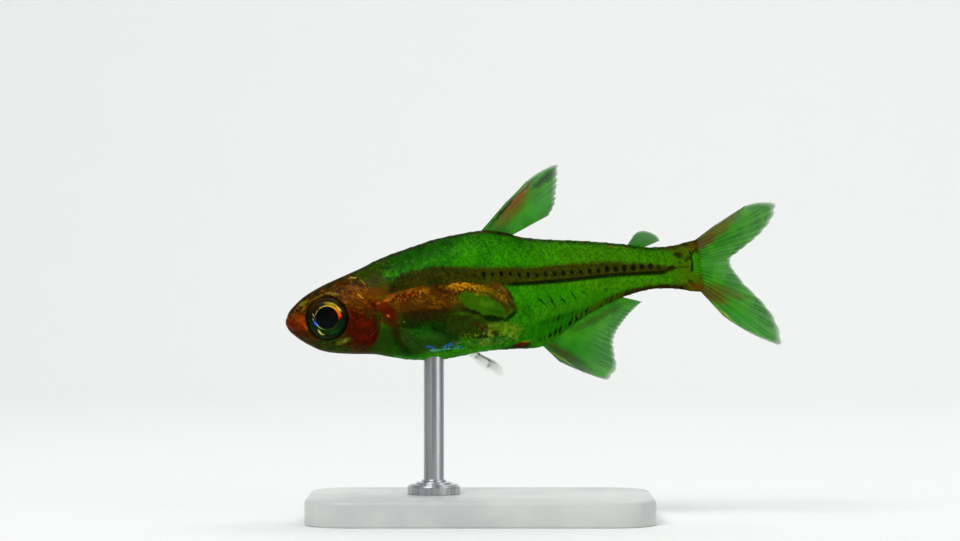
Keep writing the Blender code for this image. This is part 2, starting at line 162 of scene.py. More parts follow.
# %% Make the sweep of card
CARD, CARD_BACK, CARD_SWEEP, CARD_STEPS = 0.9, 0.22, 0.07, 24
fresh()
bpy.ops.mesh.primitive_plane_add(size=CARD, location=(0, CARD_BACK - CARD / 2, 0))
floor = bpy.context.object
floor.name = "floor"
bpy.ops.object.transform_apply(location=True)
bpy.ops.object.mode_set(mode="EDIT")
pick(floor, "EDGE", lambda middle, edge: middle.y > CARD_BACK - MM)
bpy.ops.mesh.extrude_region_move(TRANSFORM_OT_translate={"value": (0, 0, CARD / 2)})
pick(floor, "EDGE", lambda middle, edge: middle.y > CARD_BACK - MM and abs(middle.z) < MM)
bpy.ops.mesh.bevel(offset=CARD_SWEEP, segments=CARD_STEPS)
bpy.ops.object.mode_set(mode="OBJECT")
bpy.ops.object.shade_smooth()
print("the card reaches", CARD_BACK, "m behind the stand")

# %% [markdown]
# ## Light
# Soft, even light suits a wet-looking animal: small lamps would burn white points into every scale. A
# wide lamp above and to the left models the form, a weaker one fills from the right, one from behind
# shines through the thin fins, and a pale room does the rest.


# %% Hang the lamps
AIM = Vector((0, 0, 0.01))
ROOM_COLOUR, ROOM_STRENGTH = (0.9, 0.93, 0.96, 1), 0.30


def lamp(name, place, size, watts):
    """A square soft lamp that faces the middle of the fish."""
    fresh()
    aim = Vector(place) - AIM
    bpy.ops.object.light_add(type="AREA", location=place, rotation=aim.to_track_quat("Z", "Y").to_euler())
    made = bpy.context.object
    made.name = name
    made.data.size = size
    made.data.energy = watts


lamp("key_lamp", (-0.14, -0.22, 0.30), size=0.18, watts=0.86)
lamp("fill_lamp", (0.28, -0.22, 0.16), size=0.20, watts=0.24)
lamp("back_lamp", (0.08, 0.10, 0.26), size=0.16, watts=0.26)
world = bpy.data.worlds.new("pale_room")
bpy.context.scene.world = world
world.use_nodes = True
background = world.node_tree.nodes["Background"]
background.inputs["Color"].default_value = ROOM_COLOUR
background.inputs["Strength"].default_value = ROOM_STRENGTH
print("lamps:", [light.name for light in bpy.data.lights])

# %% [markdown]
# ## Sums in a material
# A material is a graph of nodes, and long sums in it are hard to read when each node is added by hand.
# This class wraps one socket. Python's own operators on it add Math nodes, and `node` adds any other
# kind. A mask is a tone that runs from 0 to 1, and most masks come from `rise`, which turns any measure
# into a soft step. Most colours below are given as they look on a screen, from 0 to 255, and turned into
# the light values that the shader wants.


# %% A socket that can be added and multiplied
class Tone:
    """One socket of a material's graph. Operators on numbers and tones add Math nodes."""

    def __init__(self, tree, socket=None):
        self.tree, self.socket = tree, socket

    def node(self, kind, settings=None, inputs=None, output=0):
        """Adds a node, makes its settings, fills or links its inputs, and returns one of its outputs."""
        made = self.tree.nodes.new(kind)
        for name, value in (settings or {}).items():
            if name == "bends":
                curve = made.mapping.curves[0]
                for point, place in zip((curve.points[0], curve.points[1]), (value[0], value[-1])):
                    point.location = place
                for place in value[1:-1]:
                    curve.points.new(*place)
                made.mapping.update()
            else:
                setattr(made, name, value)
        for name, value in (inputs or {}).items():
            if isinstance(value, Tone):
                self.tree.links.new(value.socket, made.inputs[name])
            else:
                made.inputs[name].default_value = value
        return Tone(self.tree, made.outputs[output])

    def sum(self, operation, *values):
        """The result of one Math node."""
        return self.node("ShaderNodeMath", {"operation": operation}, dict(enumerate(values)))

    def __add__(self, other):
        return self.sum("ADD", self, other)

    def __sub__(self, other):
        return self.sum("SUBTRACT", self, other)

    def __rsub__(self, other):
        return self.sum("SUBTRACT", other, self)

    def __mul__(self, other):
        return self.sum("MULTIPLY", self, other)

    def __truediv__(self, other):
        return self.sum("DIVIDE", self, other)

    def __abs__(self):
        return self.sum("ABSOLUTE", self)

    __radd__, __rmul__ = __add__, __mul__

    def feed(self, shader, name):
        """Links this socket to an input of a shader."""
        self.tree.links.new(self.socket, shader.inputs[name])


def screen(red, green, blue):
    """A colour as seen on a screen, 0 to 255, as the light values of a shader."""
    light = [c / 255 / 12.92 if c < 11 else ((c / 255 + 0.055) / 1.055) ** 2.4 for c in (red, green, blue)]
    return (*light, 1.0)


def mix(below, above, mask):
    """Lays one colour over another where the mask is 1."""
    source = next(tone for tone in (mask, below, above) if isinstance(tone, Tone))
    return source.node("ShaderNodeMix", {"data_type": "RGBA"}, {0: mask, 6: below, 7: above}, 2)


def rise(tone, start, end, height=1.0):
    """0 at start and the height at end, with a soft curve between them. Start may be the larger one."""
    softly = {"interpolation_type": "SMOOTHSTEP"}
    return tone.node("ShaderNodeMapRange", softly, {"Value": tone, 1: start, 2: end, 4: height})


def zigzag(tone, height):
    """Climbs from 0 to the height and falls again, over and over."""
    return tone.sum("PINGPONG", tone, height)


def distance(x, y):
    """How far away a place is, from two measures at right angles."""
    return x.sum("SQRT", x * x + y * y)


def grain(place, scale, detail=2.0):
    """Cloudy noise from 0 to 1, scale in bumps a unit of the place."""
    return place.node("ShaderNodeTexNoise", {}, {"Vector": place, "Scale": scale, "Detail": detail}, "Fac")


def cells(place, scale):
    """A mosaic of cells, scale in cells a unit of the place: the distance from each cell's middle."""
    return place.node("ShaderNodeTexVoronoi", {}, {"Vector": place, "Scale": scale}, "Distance")


def unwrapped(place, name):
    """The two measures of a place on one of the unwrappings."""
    spread = place.node("ShaderNodeUVMap", {"uv_map": name})
    x = place.node("ShaderNodeSeparateXYZ", {}, {0: spread})
    return x, Tone(x.tree, x.socket.node.outputs["Y"])


def new_finish(name, **constants):
    """A material whose shader has these fixed values, its shader, and the place on the object as a tone."""
    made = bpy.data.materials.new(name)
    made.use_nodes = True
    shader = made.node_tree.nodes["Principled BSDF"]
    for socket, value in constants.items():
        shader.inputs[socket.replace("_", " ")].default_value = value
    return made, shader, Tone(made.node_tree).node("ShaderNodeTexCoord", output="Object")


def relief_of(height, shader, depth_mm):
    """Feeds a height from 0 to 1 to the shader as a bump of that depth."""
    raised = {"Height": height, "Distance": depth_mm * MM, "Strength": 1.0}
    height.node("ShaderNodeBump", {}, raised).feed(shader, "Normal")


def dress(piece, finish):
    """Gives a piece one finish."""
    piece.data.materials.clear()
    piece.data.materials.append(finish)


# %% [markdown]
# ## The form of the body
# A fish is smooth from snout to tail, so a few measured lines hold its whole form: the back, the belly,
# the widest line of the flank and the half width there. Each list below gives such a line by points, u
# first, and `smooth` draws a curve through them that never swings past a point.

# %% Lines of the body
NOSE_U, TAIL_END, SKIN_END = -0.08, 20.1, 20.5
BACK = (
    (NOSE_U, -0.06), (0.0, 0.12), (0.1, 0.34), (0.5, 0.73), (1.0, 1.07), (2.0, 1.5), (3.0, 1.8),
    (4.0, 2.1), (5.0, 2.43), (6.5, 2.76), (8.0, 3.02), (10.0, 3.12), (11.0, 2.93), (12.0, 2.52),
    (13.0, 2.28), (15.0, 1.92), (17.0, 1.48), (18.2, 1.17), (19.2, 1.1), (TAIL_END, 1.2),
    (SKIN_END, 1.24),
)
BELLY = (
    (NOSE_U, -0.06), (-0.04, -0.3), (0.1, -0.57), (0.25, -0.74), (0.5, -0.99), (1.0, -1.38), (1.5, -1.68),
    (2.0, -1.85), (3.0, -2.05), (4.0, -2.2), (5.0, -2.5), (6.0, -2.75), (7.5, -2.9), (9.5, -2.79),
    (11.0, -2.88), (12.0, -2.97), (13.0, -2.6), (14.0, -2.05), (15.0, -1.58), (16.0, -1.22),
    (17.0, -0.97), (18.0, -0.87), (19.0, -0.98), (TAIL_END, -1.28), (SKIN_END, -1.36),
)
HALF_WIDTH = (
    (NOSE_U, 0.0), (0.1, 0.36), (0.5, 0.66), (1.0, 0.86), (2.0, 1.08), (3.0, 1.22), (4.0, 1.31),
    (5.5, 1.38), (7.5, 1.37), (9.5, 1.27), (11.5, 1.07), (13.5, 0.84), (15.5, 0.63), (17.5, 0.45),
    (19.6, 0.31), (TAIL_END, 0.23), (SKIN_END, 0.06),
)
WIDEST_HEIGHT = (
    (NOSE_U, -0.06), (1.0, -0.15), (3.0, -0.3), (6.0, -0.2), (10.0, 0.0), (15.0, 0.1), (SKIN_END, 0.0),
)
BACK_ROUNDNESS = 1.85
BELLY_ROUNDNESS = ((NOSE_U, 2.0), (6.0, 2.0), (11.0, 1.85), (13.0, 1.6), (SKIN_END, 1.8))


def smooth(points, at):
    """A smooth line through the points, read at one place or at many."""
    xs, ys = np.array(points, float).T
    steps = np.diff(ys) / np.diff(xs)
    both = steps[:-1] * steps[1:]
    middle = np.where(both > 0, 2 * both / np.where(both > 0, steps[:-1] + steps[1:], 1.0), 0.0)
    slopes = np.concatenate(([steps[0]], middle, [steps[-1]]))
    i = np.clip(np.searchsorted(xs, at) - 1, 0, len(xs) - 2)
    span = xs[i + 1] - xs[i]
    t = np.clip((at - xs[i]) / span, 0, 1)
    bend = span * (slopes[i] * t * (1 - t) ** 2 - slopes[i + 1] * t * t * (1 - t))
    return ys[i] * (1 + 2 * t) * (1 - t) ** 2 + ys[i + 1] * t * t * (3 - 2 * t) + bend


def rounded_nose(points, u):
    """The same, drawn against the root of the distance from the nose, which rounds the nose."""
    spread = [(math.sqrt(p[0] - NOSE_U), p[1]) for p in points]
    return smooth(spread, np.sqrt(np.maximum(np.asarray(u, float) - NOSE_U, 0.0)))


def on_body(u, turn):
    """Points of the plain body. Turn is the angle round it, 0 on the back, half a turn on the belly."""
    u, turn = np.broadcast_arrays(np.asarray(u, float), np.asarray(turn, float))
    back, belly, widest, half = (rounded_nose(line, u) for line in (BACK, BELLY, WIDEST_HEIGHT, HALF_WIDTH))
    up, out = np.cos(turn), np.sin(turn)
    extent = np.where(up > 0, back - widest, widest - belly)
    power = np.where(up > 0, BACK_ROUNDNESS, smooth(BELLY_ROUNDNESS, u))
    w = widest + np.sign(up) * extent * np.abs(up) ** (2 / power)
    y = np.sign(out) * half * np.abs(out) ** (2 / power)
    return np.stack((u, y, w), -1)


def flank(u, w):
    """How far the flank stands out from the middle at a place seen from the side."""
    back, belly, widest, half = (rounded_nose(line, u) for line in (BACK, BELLY, WIDEST_HEIGHT, HALF_WIDTH))
    power = np.where(w > widest, BACK_ROUNDNESS, smooth(BELLY_ROUNDNESS, u))
    share = np.minimum(np.abs(w - widest) / np.where(w > widest, back - widest, widest - belly), 1.0)
    return half * (1 - share**power) ** (1 / power)


def outward(u, w, side):
    """The way out of one flank at a place seen from the side."""
    step = 0.05
    along = (flank(u + step, w) - flank(u - step, w)) / (2 * step)
    upward = (flank(u, w + step) - flank(u, w - step)) / (2 * step)
    return Vector((-along, side, -upward)).normalized()


print("body is", round(float(rounded_nose(BACK, 10.0) - rounded_nose(BELLY, 10.0)), 2), "mm deep at u 10")

# %% [markdown]
# ## Fine forms of the head
# The head of a small fish is bone under thin skin: a rim round the eye, lips with a long jaw bone behind
# them, two nostrils, the plates of the cheek, and the gill cover with its free edge. Each is a raised
# line or plate. They are described here as heights over the plain body, so that one skin can carry all of
# them without a seam.

# %% Raised and sunken forms
EYE_U, EYE_W, EYE_RADIUS, EYE_HALF_DEPTH, EYE_Y, EYE_BACK_Y = 2.03, -0.14, 1.0, 0.56, 0.7, 0.44
MOUTH = ((-0.2, -0.02), (0.05, -0.05), (0.3, -0.22), (0.5, -0.36))
NOSTRILS = ((0.6, 0.4, 0.075), (0.8, 0.55, 0.09))
GILL_CENTRE, GILL_REACH, HEAD_END = (2.75, -0.5), (1.78, 1.45), 4.75
PORES = (
    (1.0, -1.0), (1.32, -1.3), (1.7, -1.52), (2.15, -1.66), (2.62, -1.68), (3.05, -1.5), (3.32, -1.15),
    (3.42, -0.7), (3.38, -0.25), (1.25, 0.86), (1.75, 1.12), (2.3, 1.2), (2.8, 1.05), (3.2, 0.72),
    (0.98, -0.62), (0.9, -0.25),
)
HIGHEST_POWER = 60.0


def hump(away, breadth):
    """1 in the middle, falling softly to 0 at about twice the breadth."""
    return np.exp(-((away / breadth) ** 2))


def step_at(value, edge, breadth):
    """0 below the edge and 1 above it, through a soft step of that breadth. Its power is kept in bounds."""
    return 1 / (1 + np.exp(np.minimum(-(value - edge) * 4 / breadth, HIGHEST_POWER)))


def from_line(u, w, points):
    """Distance from the nearest part of a bent line."""
    nearest = np.full(np.shape(u), 1e9)
    for (u0, w0), (u1, w1) in zip(points, points[1:]):
        squared = (u1 - u0) ** 2 + (w1 - w0) ** 2
        t = np.clip(((u - u0) * (u1 - u0) + (w - w0) * (w1 - w0)) / squared, 0, 1)
        nearest = np.minimum(nearest, np.hypot(u - u0 - t * (u1 - u0), w - w0 - t * (w1 - w0)))
    return nearest


def head_forms(u, w):
    """Heights in millimetres over the plain head. Each hump has its height, its middle and its breadth."""
    eye = np.hypot(u - EYE_U, w - EYE_W)
    angle = np.arctan2(w - EYE_W, u - EYE_U)
    height = 0.045 * hump(eye - EYE_RADIUS - 0.14, 0.11)
    height += 0.014 * hump(eye - 1.52, 0.05) * step_at(np.sin(angle + 0.5), -0.2, 0.5) * (w < 0.9)
    height -= 0.014 * hump(eye - 1.36, 0.05) * (angle < -0.15)
    mouth = from_line(u, w, MOUTH)
    lips = 0.03 * hump(mouth - 0.1, 0.07) - 0.07 * hump(mouth, 0.036)
    height += lips * (0.35 + 0.65 * step_at(u, 0.06, 0.12))
    jaw_bone = from_line(u, w, ((0.3, -0.3), (0.62, -0.52), (0.86, -0.86)))
    height += 0.05 * hump(jaw_bone, 0.12) - 0.035 * hump(jaw_bone - 0.2, 0.035) * (u > 0.35)
    for nostril_u, nostril_w, radius in NOSTRILS:
        pit = np.hypot(u - nostril_u, w - nostril_w)
        height += 0.03 * hump(pit - radius * 1.4, 0.05) - 0.11 * hump(pit, radius * 0.8)
    for pore_u, pore_w in PORES:
        pore = np.hypot(u - pore_u, w - pore_w)
        height += 0.012 * hump(pore - 0.055, 0.025) - 0.03 * hump(pore, 0.028)
    cheek = np.hypot((u - 2.35) / 1.28, (w + 0.45) / 1.35)
    height += 0.018 * step_at(1 - cheek, 0, 0.06) * step_at(u, 2.6, 0.5)
    height -= 0.016 * hump(cheek - 1.03, 0.035) * step_at(u, 2.6, 0.5)
    share = np.hypot((u - GILL_CENTRE[0]) / GILL_REACH[0], (w - GILL_CENTRE[1]) / GILL_REACH[1])
    swell = np.clip((u - GILL_CENTRE[0]) / 0.9, 0, 1)
    height += 0.055 * swell * step_at(1 - share, 0, 0.09)
    height -= 0.035 * swell * hump(share - 1.05, 0.03)
    plate = from_line(u, w, ((3.55, -1.35), (4.0, -0.95), (4.4, -0.75)))
    height -= 0.022 * hump(plate, 0.035)
    for low in (0.0, 0.17, 0.34):
        fold = from_line(u, w, ((1.5, -1.52 + low * 0.3), (2.4, -1.86 + low * 0.5), (3.7, -1.95 + low)))
        height -= 0.02 * hump(fold, 0.035) * step_at(share, 0.97, 0.05)
    crown = from_line(u, w, ((1.1, 1.0), (2.2, 1.42), (3.2, 1.55), (3.9, 1.45)))
    height += 0.02 * hump(crown, 0.1)
    return height * step_at(-u, -HEAD_END, 0.3)


probe = head_forms(np.array([4.4, 4.62]), np.array([-0.5, -0.5]))
print("gill cover stands", np.round(probe, 3), "mm either side of its edge")

# %% [markdown]
# ## Skin
# One skin wraps the whole body, so that no seam shows between head, trunk and tail. It could be lofted
# from sections or sculpted. Here a ball with many rings is added and every corner is moved: the ring says
# how far back it lies, and the angle round the ball says where on the section. The poles of the ball
# close the snout and the end of the tail, and its own unwrapping still fits. Rings are laid closer over
# the head, where the fine forms are. Round the eye the skin is pushed in to a flat floor, which leaves a
# socket for the eyeball.

# %% Shape the skin
RINGS, SEGMENTS = 330, 192
CLOSING_FROM, CLOSING_FLAT = 0.985, 0.1
FORMS_END, SNOUT_END = 6.0, 0.35
SOCKET_SLOPE, SOCKET_FROM_Y, SOCKET_TO_U = 0.07, 0.3, 3.4
RING_PLACES = ((0.0, NOSE_U), (0.03, 0.0), (0.5, 4.8), (0.96, 19.8), (0.985, 20.38), (1.0, SKIN_END))
fresh()
bpy.ops.mesh.primitive_uv_sphere_add(segments=SEGMENTS, ring_count=RINGS, radius=1.0, location=(0, 0, 0))
skin = bpy.context.object
ball = corners_of(skin)
ring_share = np.arccos(np.clip(ball[:, 2], -1, 1)) / math.pi
turn = np.arctan2(ball[:, 1], ball[:, 0])
u = smooth(RING_PLACES, ring_share)
places = on_body(u, turn)
end_in = np.clip((ring_share - CLOSING_FROM) / (1 - CLOSING_FROM), 0, 1)
shrink = np.sqrt(1 - end_in**2)
places[:, 1] *= shrink
places[:, 2] *= (1 - CLOSING_FLAT) * shrink + CLOSING_FLAT * (1 - end_in)
reshape(skin, places)
normals = np.empty(len(places) * 3)
skin.data.vertex_normals.foreach_get("vector", normals)
normals = normals.reshape(-1, 3)
w = places[:, 2]
side_on = np.abs(np.sin(turn)) ** 0.5
height = np.where(u < FORMS_END, head_forms(u, w) * np.where(u < SNOUT_END, 1.0, side_on), 0.0)
places += normals * height[:, None]
socket = 1 - step_at(np.hypot(u - EYE_U, w - EYE_W), EYE_RADIUS + 0.015, SOCKET_SLOPE)
socket *= (np.abs(places[:, 1]) > SOCKET_FROM_Y) & (u < SOCKET_TO_U)
places[:, 1] += socket * (np.sign(places[:, 1]) * EYE_BACK_Y - places[:, 1])
reshape(skin, places)
into_room(skin, "skin")
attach(skin, "root")
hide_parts("head", "torso", "tail")

# %% [markdown]
# ## Colours of the skin
# This little fish is half clear. What shows on its flank is partly pigment and partly what lies beneath:
# the brown line of muscle along the spine with a dark dot at every vertebra, the amber lining round the
# gut, the clear swim bladder as a green lens, and a brick red gill cover full of blood. Some of it is
# painted light: pinpoint highlights on the gut, a silvery reflection low on the belly, a glint on the
# cheek, and painted shade in the gill slit and at the outline of the back. A painter of models would lay
# these one over the other in soft strokes. So does this graph. A stroke is a soft oval between two places
# on the flank, and the tables give its two ends, breadth, softness, colour and strength.
#
# The two measures of a place are read through straight ramps of grey, 40 mm long. A ramp turns a place
# directly into one number, and the large graph compiles well that way. Zero lies a quarter of the ramp's
# length along it for u, and half way for w.

# %% Strokes of paint
BAND_TOP = (
    (4.4, 0.9), (5.2, 1.22), (6.0, 1.58), (7.0, 1.7), (8.0, 1.64), (9.0, 1.47), (10.0, 1.32), (11.0, 1.2),
    (12.0, 1.06), (14.0, 0.95), (16.0, 0.78), (17.0, 0.6), (18.0, 0.4), (19.0, 0.14), (20.6, 0.1),
)
BAND_LOW = (
    (4.4, 0.5), (6.0, 0.62), (8.5, 0.6), (9.5, 0.46), (10.2, 0.26), (11.0, 0.28), (12.0, 0.21),
    (13.0, 0.15), (14.0, 0.1), (16.0, 0.05), (17.0, -0.02), (18.0, -0.1), (18.6, -0.15), (19.1, -0.06),
    (20.6, -0.05),
)
SPINE = (
    (4.4, 1.0), (9.7, 0.95), (11.0, 0.85), (12.0, 0.63), (13.0, 0.55), (14.0, 0.48), (15.0, 0.42),
    (16.0, 0.38), (17.0, 0.33), (18.0, 0.24), (19.0, 0.06), (20.6, 0.0),
)
VERTEBRA = 0.43
FLESH_STROKES = (
    ((4.2, 1.95), (8.4, 2.6), 1.3, 0.9, (18, 78, 1), 0.85),
    ((4.4, 1.9), (5.3, 2.05), 0.8, 0.9, (38, 66, 1), 0.75),
    ((4.2, 1.2), (5.1, 1.25), 0.95, 0.8, (58, 42, 1), 0.92),
    ((4.3, 0.75), (5.8, 0.8), 0.75, 0.8, (84, 38, 1), 0.92),
    ((5.3, -1.45), (7.9, -1.6), 2.1, 0.3, (8, 46, 1), 0.97),
    ((8.0, -1.3), (10.2, -1.85), 1.4, 0.45, (38, 52, 1), 0.95),
    ((6.9, -0.92), (9.2, -0.98), 0.5, 0.7, (36, 40, 1), 0.97),
    ((5.25, -0.95), (5.6, -1.95), 0.75, 0.8, (36, 32, 1), 0.85),
    ((6.2, -1.35), (7.2, -1.7), 0.75, 0.9, (16, 84, 2), 0.75),
    ((5.4, -1.0), (7.6, -1.0), 0.4, 0.9, (28, 34, 1), 0.75),
    ((7.5, -1.2), (7.8, -1.9), 0.24, 0.9, (10, 40, 1), 0.7),
    ((9.8, -1.6), (11.1, -1.85), 0.9, 0.8, (70, 106, 3), 0.9),
    ((10.3, -1.8), (11.2, -2.0), 0.7, 0.9, (92, 138, 8), 0.85),
    ((8.9, -1.2), (10.2, -2.02), 0.34, 0.7, (54, 40, 3), 0.88),
    ((8.5, -2.3), (10.9, -2.36), 0.52, 0.8, (58, 112, 30), 0.85),
    ((4.9, -2.15), (6.5, -2.5), 0.55, 0.9, (8, 42, 1), 0.8),
    ((9.9, -2.74), (12.0, -2.86), 0.2, 0.8, (8, 34, 1), 0.85),
    ((13.5, -1.35), (16.5, -0.75), 0.9, 0.9, (34, 124, 2), 0.5),
    ((11.7, -2.2), (14.8, -1.7), 1.5, 0.95, (14, 108, 1), 0.75),
    ((12.0, -0.55), (15.0, -0.6), 1.2, 0.9, (36, 142, 1), 0.5),
)
GUT_STROKES = (
    ((4.7, 0.35), (9.0, 0.45), 0.95, 0.4, (72, 44, 2), 1.0),
    ((8.6, 0.52), (10.7, 0.2), 0.62, 0.5, (62, 52, 3), 1.0),
    ((4.9, 0.05), (8.7, 0.0), 1.45, 0.35, (78, 43, 2), 1.0),
    ((8.8, -0.2), (10.5, -0.76), 1.5, 0.28, (62, 54, 5), 1.0),
    ((10.3, 0.45), (11.08, -0.4), 0.55, 0.6, (84, 58, 5), 0.95),
    ((10.95, -0.3), (11.2, -1.02), 0.42, 0.6, (52, 44, 4), 0.95),
    ((4.9, -0.55), (8.9, -0.62), 0.72, 0.6, (38, 21, 1), 0.95),
    ((8.3, -0.5), (9.3, -0.8), 0.5, 0.8, (50, 48, 2), 0.8),
    ((5.5, 0.15), (6.1, 0.3), 0.45, 0.9, (96, 44, 4), 0.8),
    ((6.2, 0.15), (6.9, 0.05), 0.42, 0.9, (88, 64, 5), 0.8),
    ((7.2, 0.2), (7.9, 0.0), 0.42, 0.9, (92, 50, 2), 0.8),
    ((8.1, -0.05), (8.7, -0.1), 0.5, 0.9, (92, 74, 2), 0.85),
    ((7.0, -0.2), (7.7, -0.4), 0.22, 0.9, (112, 72, 6), 0.6),
    ((4.55, 0.2), (5.35, -0.65), 0.85, 0.6, (78, 13, 1), 0.97),
    ((4.9, 0.36), (5.6, 0.6), 0.36, 0.9, (140, 74, 7), 0.85),
    ((5.5, 0.62), (7.2, 0.66), 0.34, 0.9, (112, 64, 4), 0.9),
    ((5.6, 0.42), (6.6, 0.48), 0.26, 0.8, (112, 26, 2), 0.85),
    ((5.95, 0.7), (6.5, 0.72), 0.12, 0.8, (166, 84, 10), 0.7),
    ((6.8, 0.56), (7.15, 0.5), 0.3, 0.9, (170, 108, 14), 0.75),
    ((7.0, 0.35), (7.5, 0.0), 0.3, 0.9, (118, 78, 6), 0.7),
    ((7.5, 0.1), (7.9, -0.35), 0.16, 0.9, (128, 76, 8), 0.6),
    ((7.45, 0.8), (7.95, 0.45), 0.42, 0.8, (46, 18, 2), 0.92),
    ((8.0, 0.56), (9.5, 0.46), 0.42, 0.6, (138, 94, 5), 0.95),
    ((8.15, 0.66), (9.2, 0.6), 0.17, 0.8, (214, 138, 14), 0.85),
    ((9.1, 0.5), (10.3, 0.08), 0.4, 0.6, (124, 96, 3), 0.95),
    ((10.15, 0.12), (10.85, -0.55), 0.32, 0.7, (102, 76, 6), 0.95),
    ((10.72, 0.36), (11.26, -0.6), 0.16, 0.8, (34, 28, 3), 0.85),
    ((10.6, 0.36), (10.95, -0.1), 0.16, 0.8, (122, 84, 30), 0.7),
    ((8.88, -0.06), (10.32, -0.86), 1.02, 0.2, (50, 98, 2), 1.0),
    ((8.95, 0.28), (10.1, -0.12), 0.16, 0.8, (112, 104, 6), 0.75),
    ((9.5, -0.35), (10.1, -0.55), 0.42, 0.9, (68, 124, 8), 0.85),
    ((10.0, -0.88), (10.5, -0.98), 0.3, 0.9, (28, 82, 3), 0.75),
    ((8.5, -0.5), (9.6, -1.02), 0.28, 0.7, (18, 34, 1), 0.95),
    ((9.5, -1.06), (10.75, -1.42), 0.38, 0.6, (5, 28, 1), 0.97),
    ((10.7, -1.4), (11.2, -1.02), 0.3, 0.7, (9, 30, 1), 0.94),
    ((9.35, 0.06), (9.5, -0.02), 0.12, 0.8, (156, 150, 24), 0.75),
)
BELLY_STROKES = (
    # The next six strokes are a painted blue-white reflection off the silvery belly.
    ((6.65, -2.16), (7.1, -2.28), 0.2, 0.8, (36, 92, 200), 0.9),
    ((7.45, -2.3), (7.9, -2.2), 0.2, 0.8, (50, 112, 210), 0.9),
    ((7.85, -2.28), (8.45, -2.5), 0.2, 0.8, (70, 128, 130), 0.75),
    ((6.75, -2.38), (7.3, -2.42), 0.18, 0.7, (92, 180, 140), 0.85),
    ((7.3, -2.4), (8.1, -2.4), 0.14, 0.7, (96, 176, 170), 0.8),
    ((8.0, -2.16), (8.35, -2.2), 0.12, 0.7, (130, 110, 100), 0.6),
    ((5.7, -0.78), (5.8, -0.84), 0.1, 0.8, (104, 104, 56), 0.6),
    ((10.7, -2.72), (11.8, -2.74), 0.32, 0.7, (36, 16, 3), 0.95),
    ((11.05, -2.66), (11.5, -2.68), 0.22, 0.7, (92, 12, 4), 0.9),
    ((11.3, -2.58), (11.75, -2.58), 0.08, 0.7, (186, 92, 36), 0.8),
)
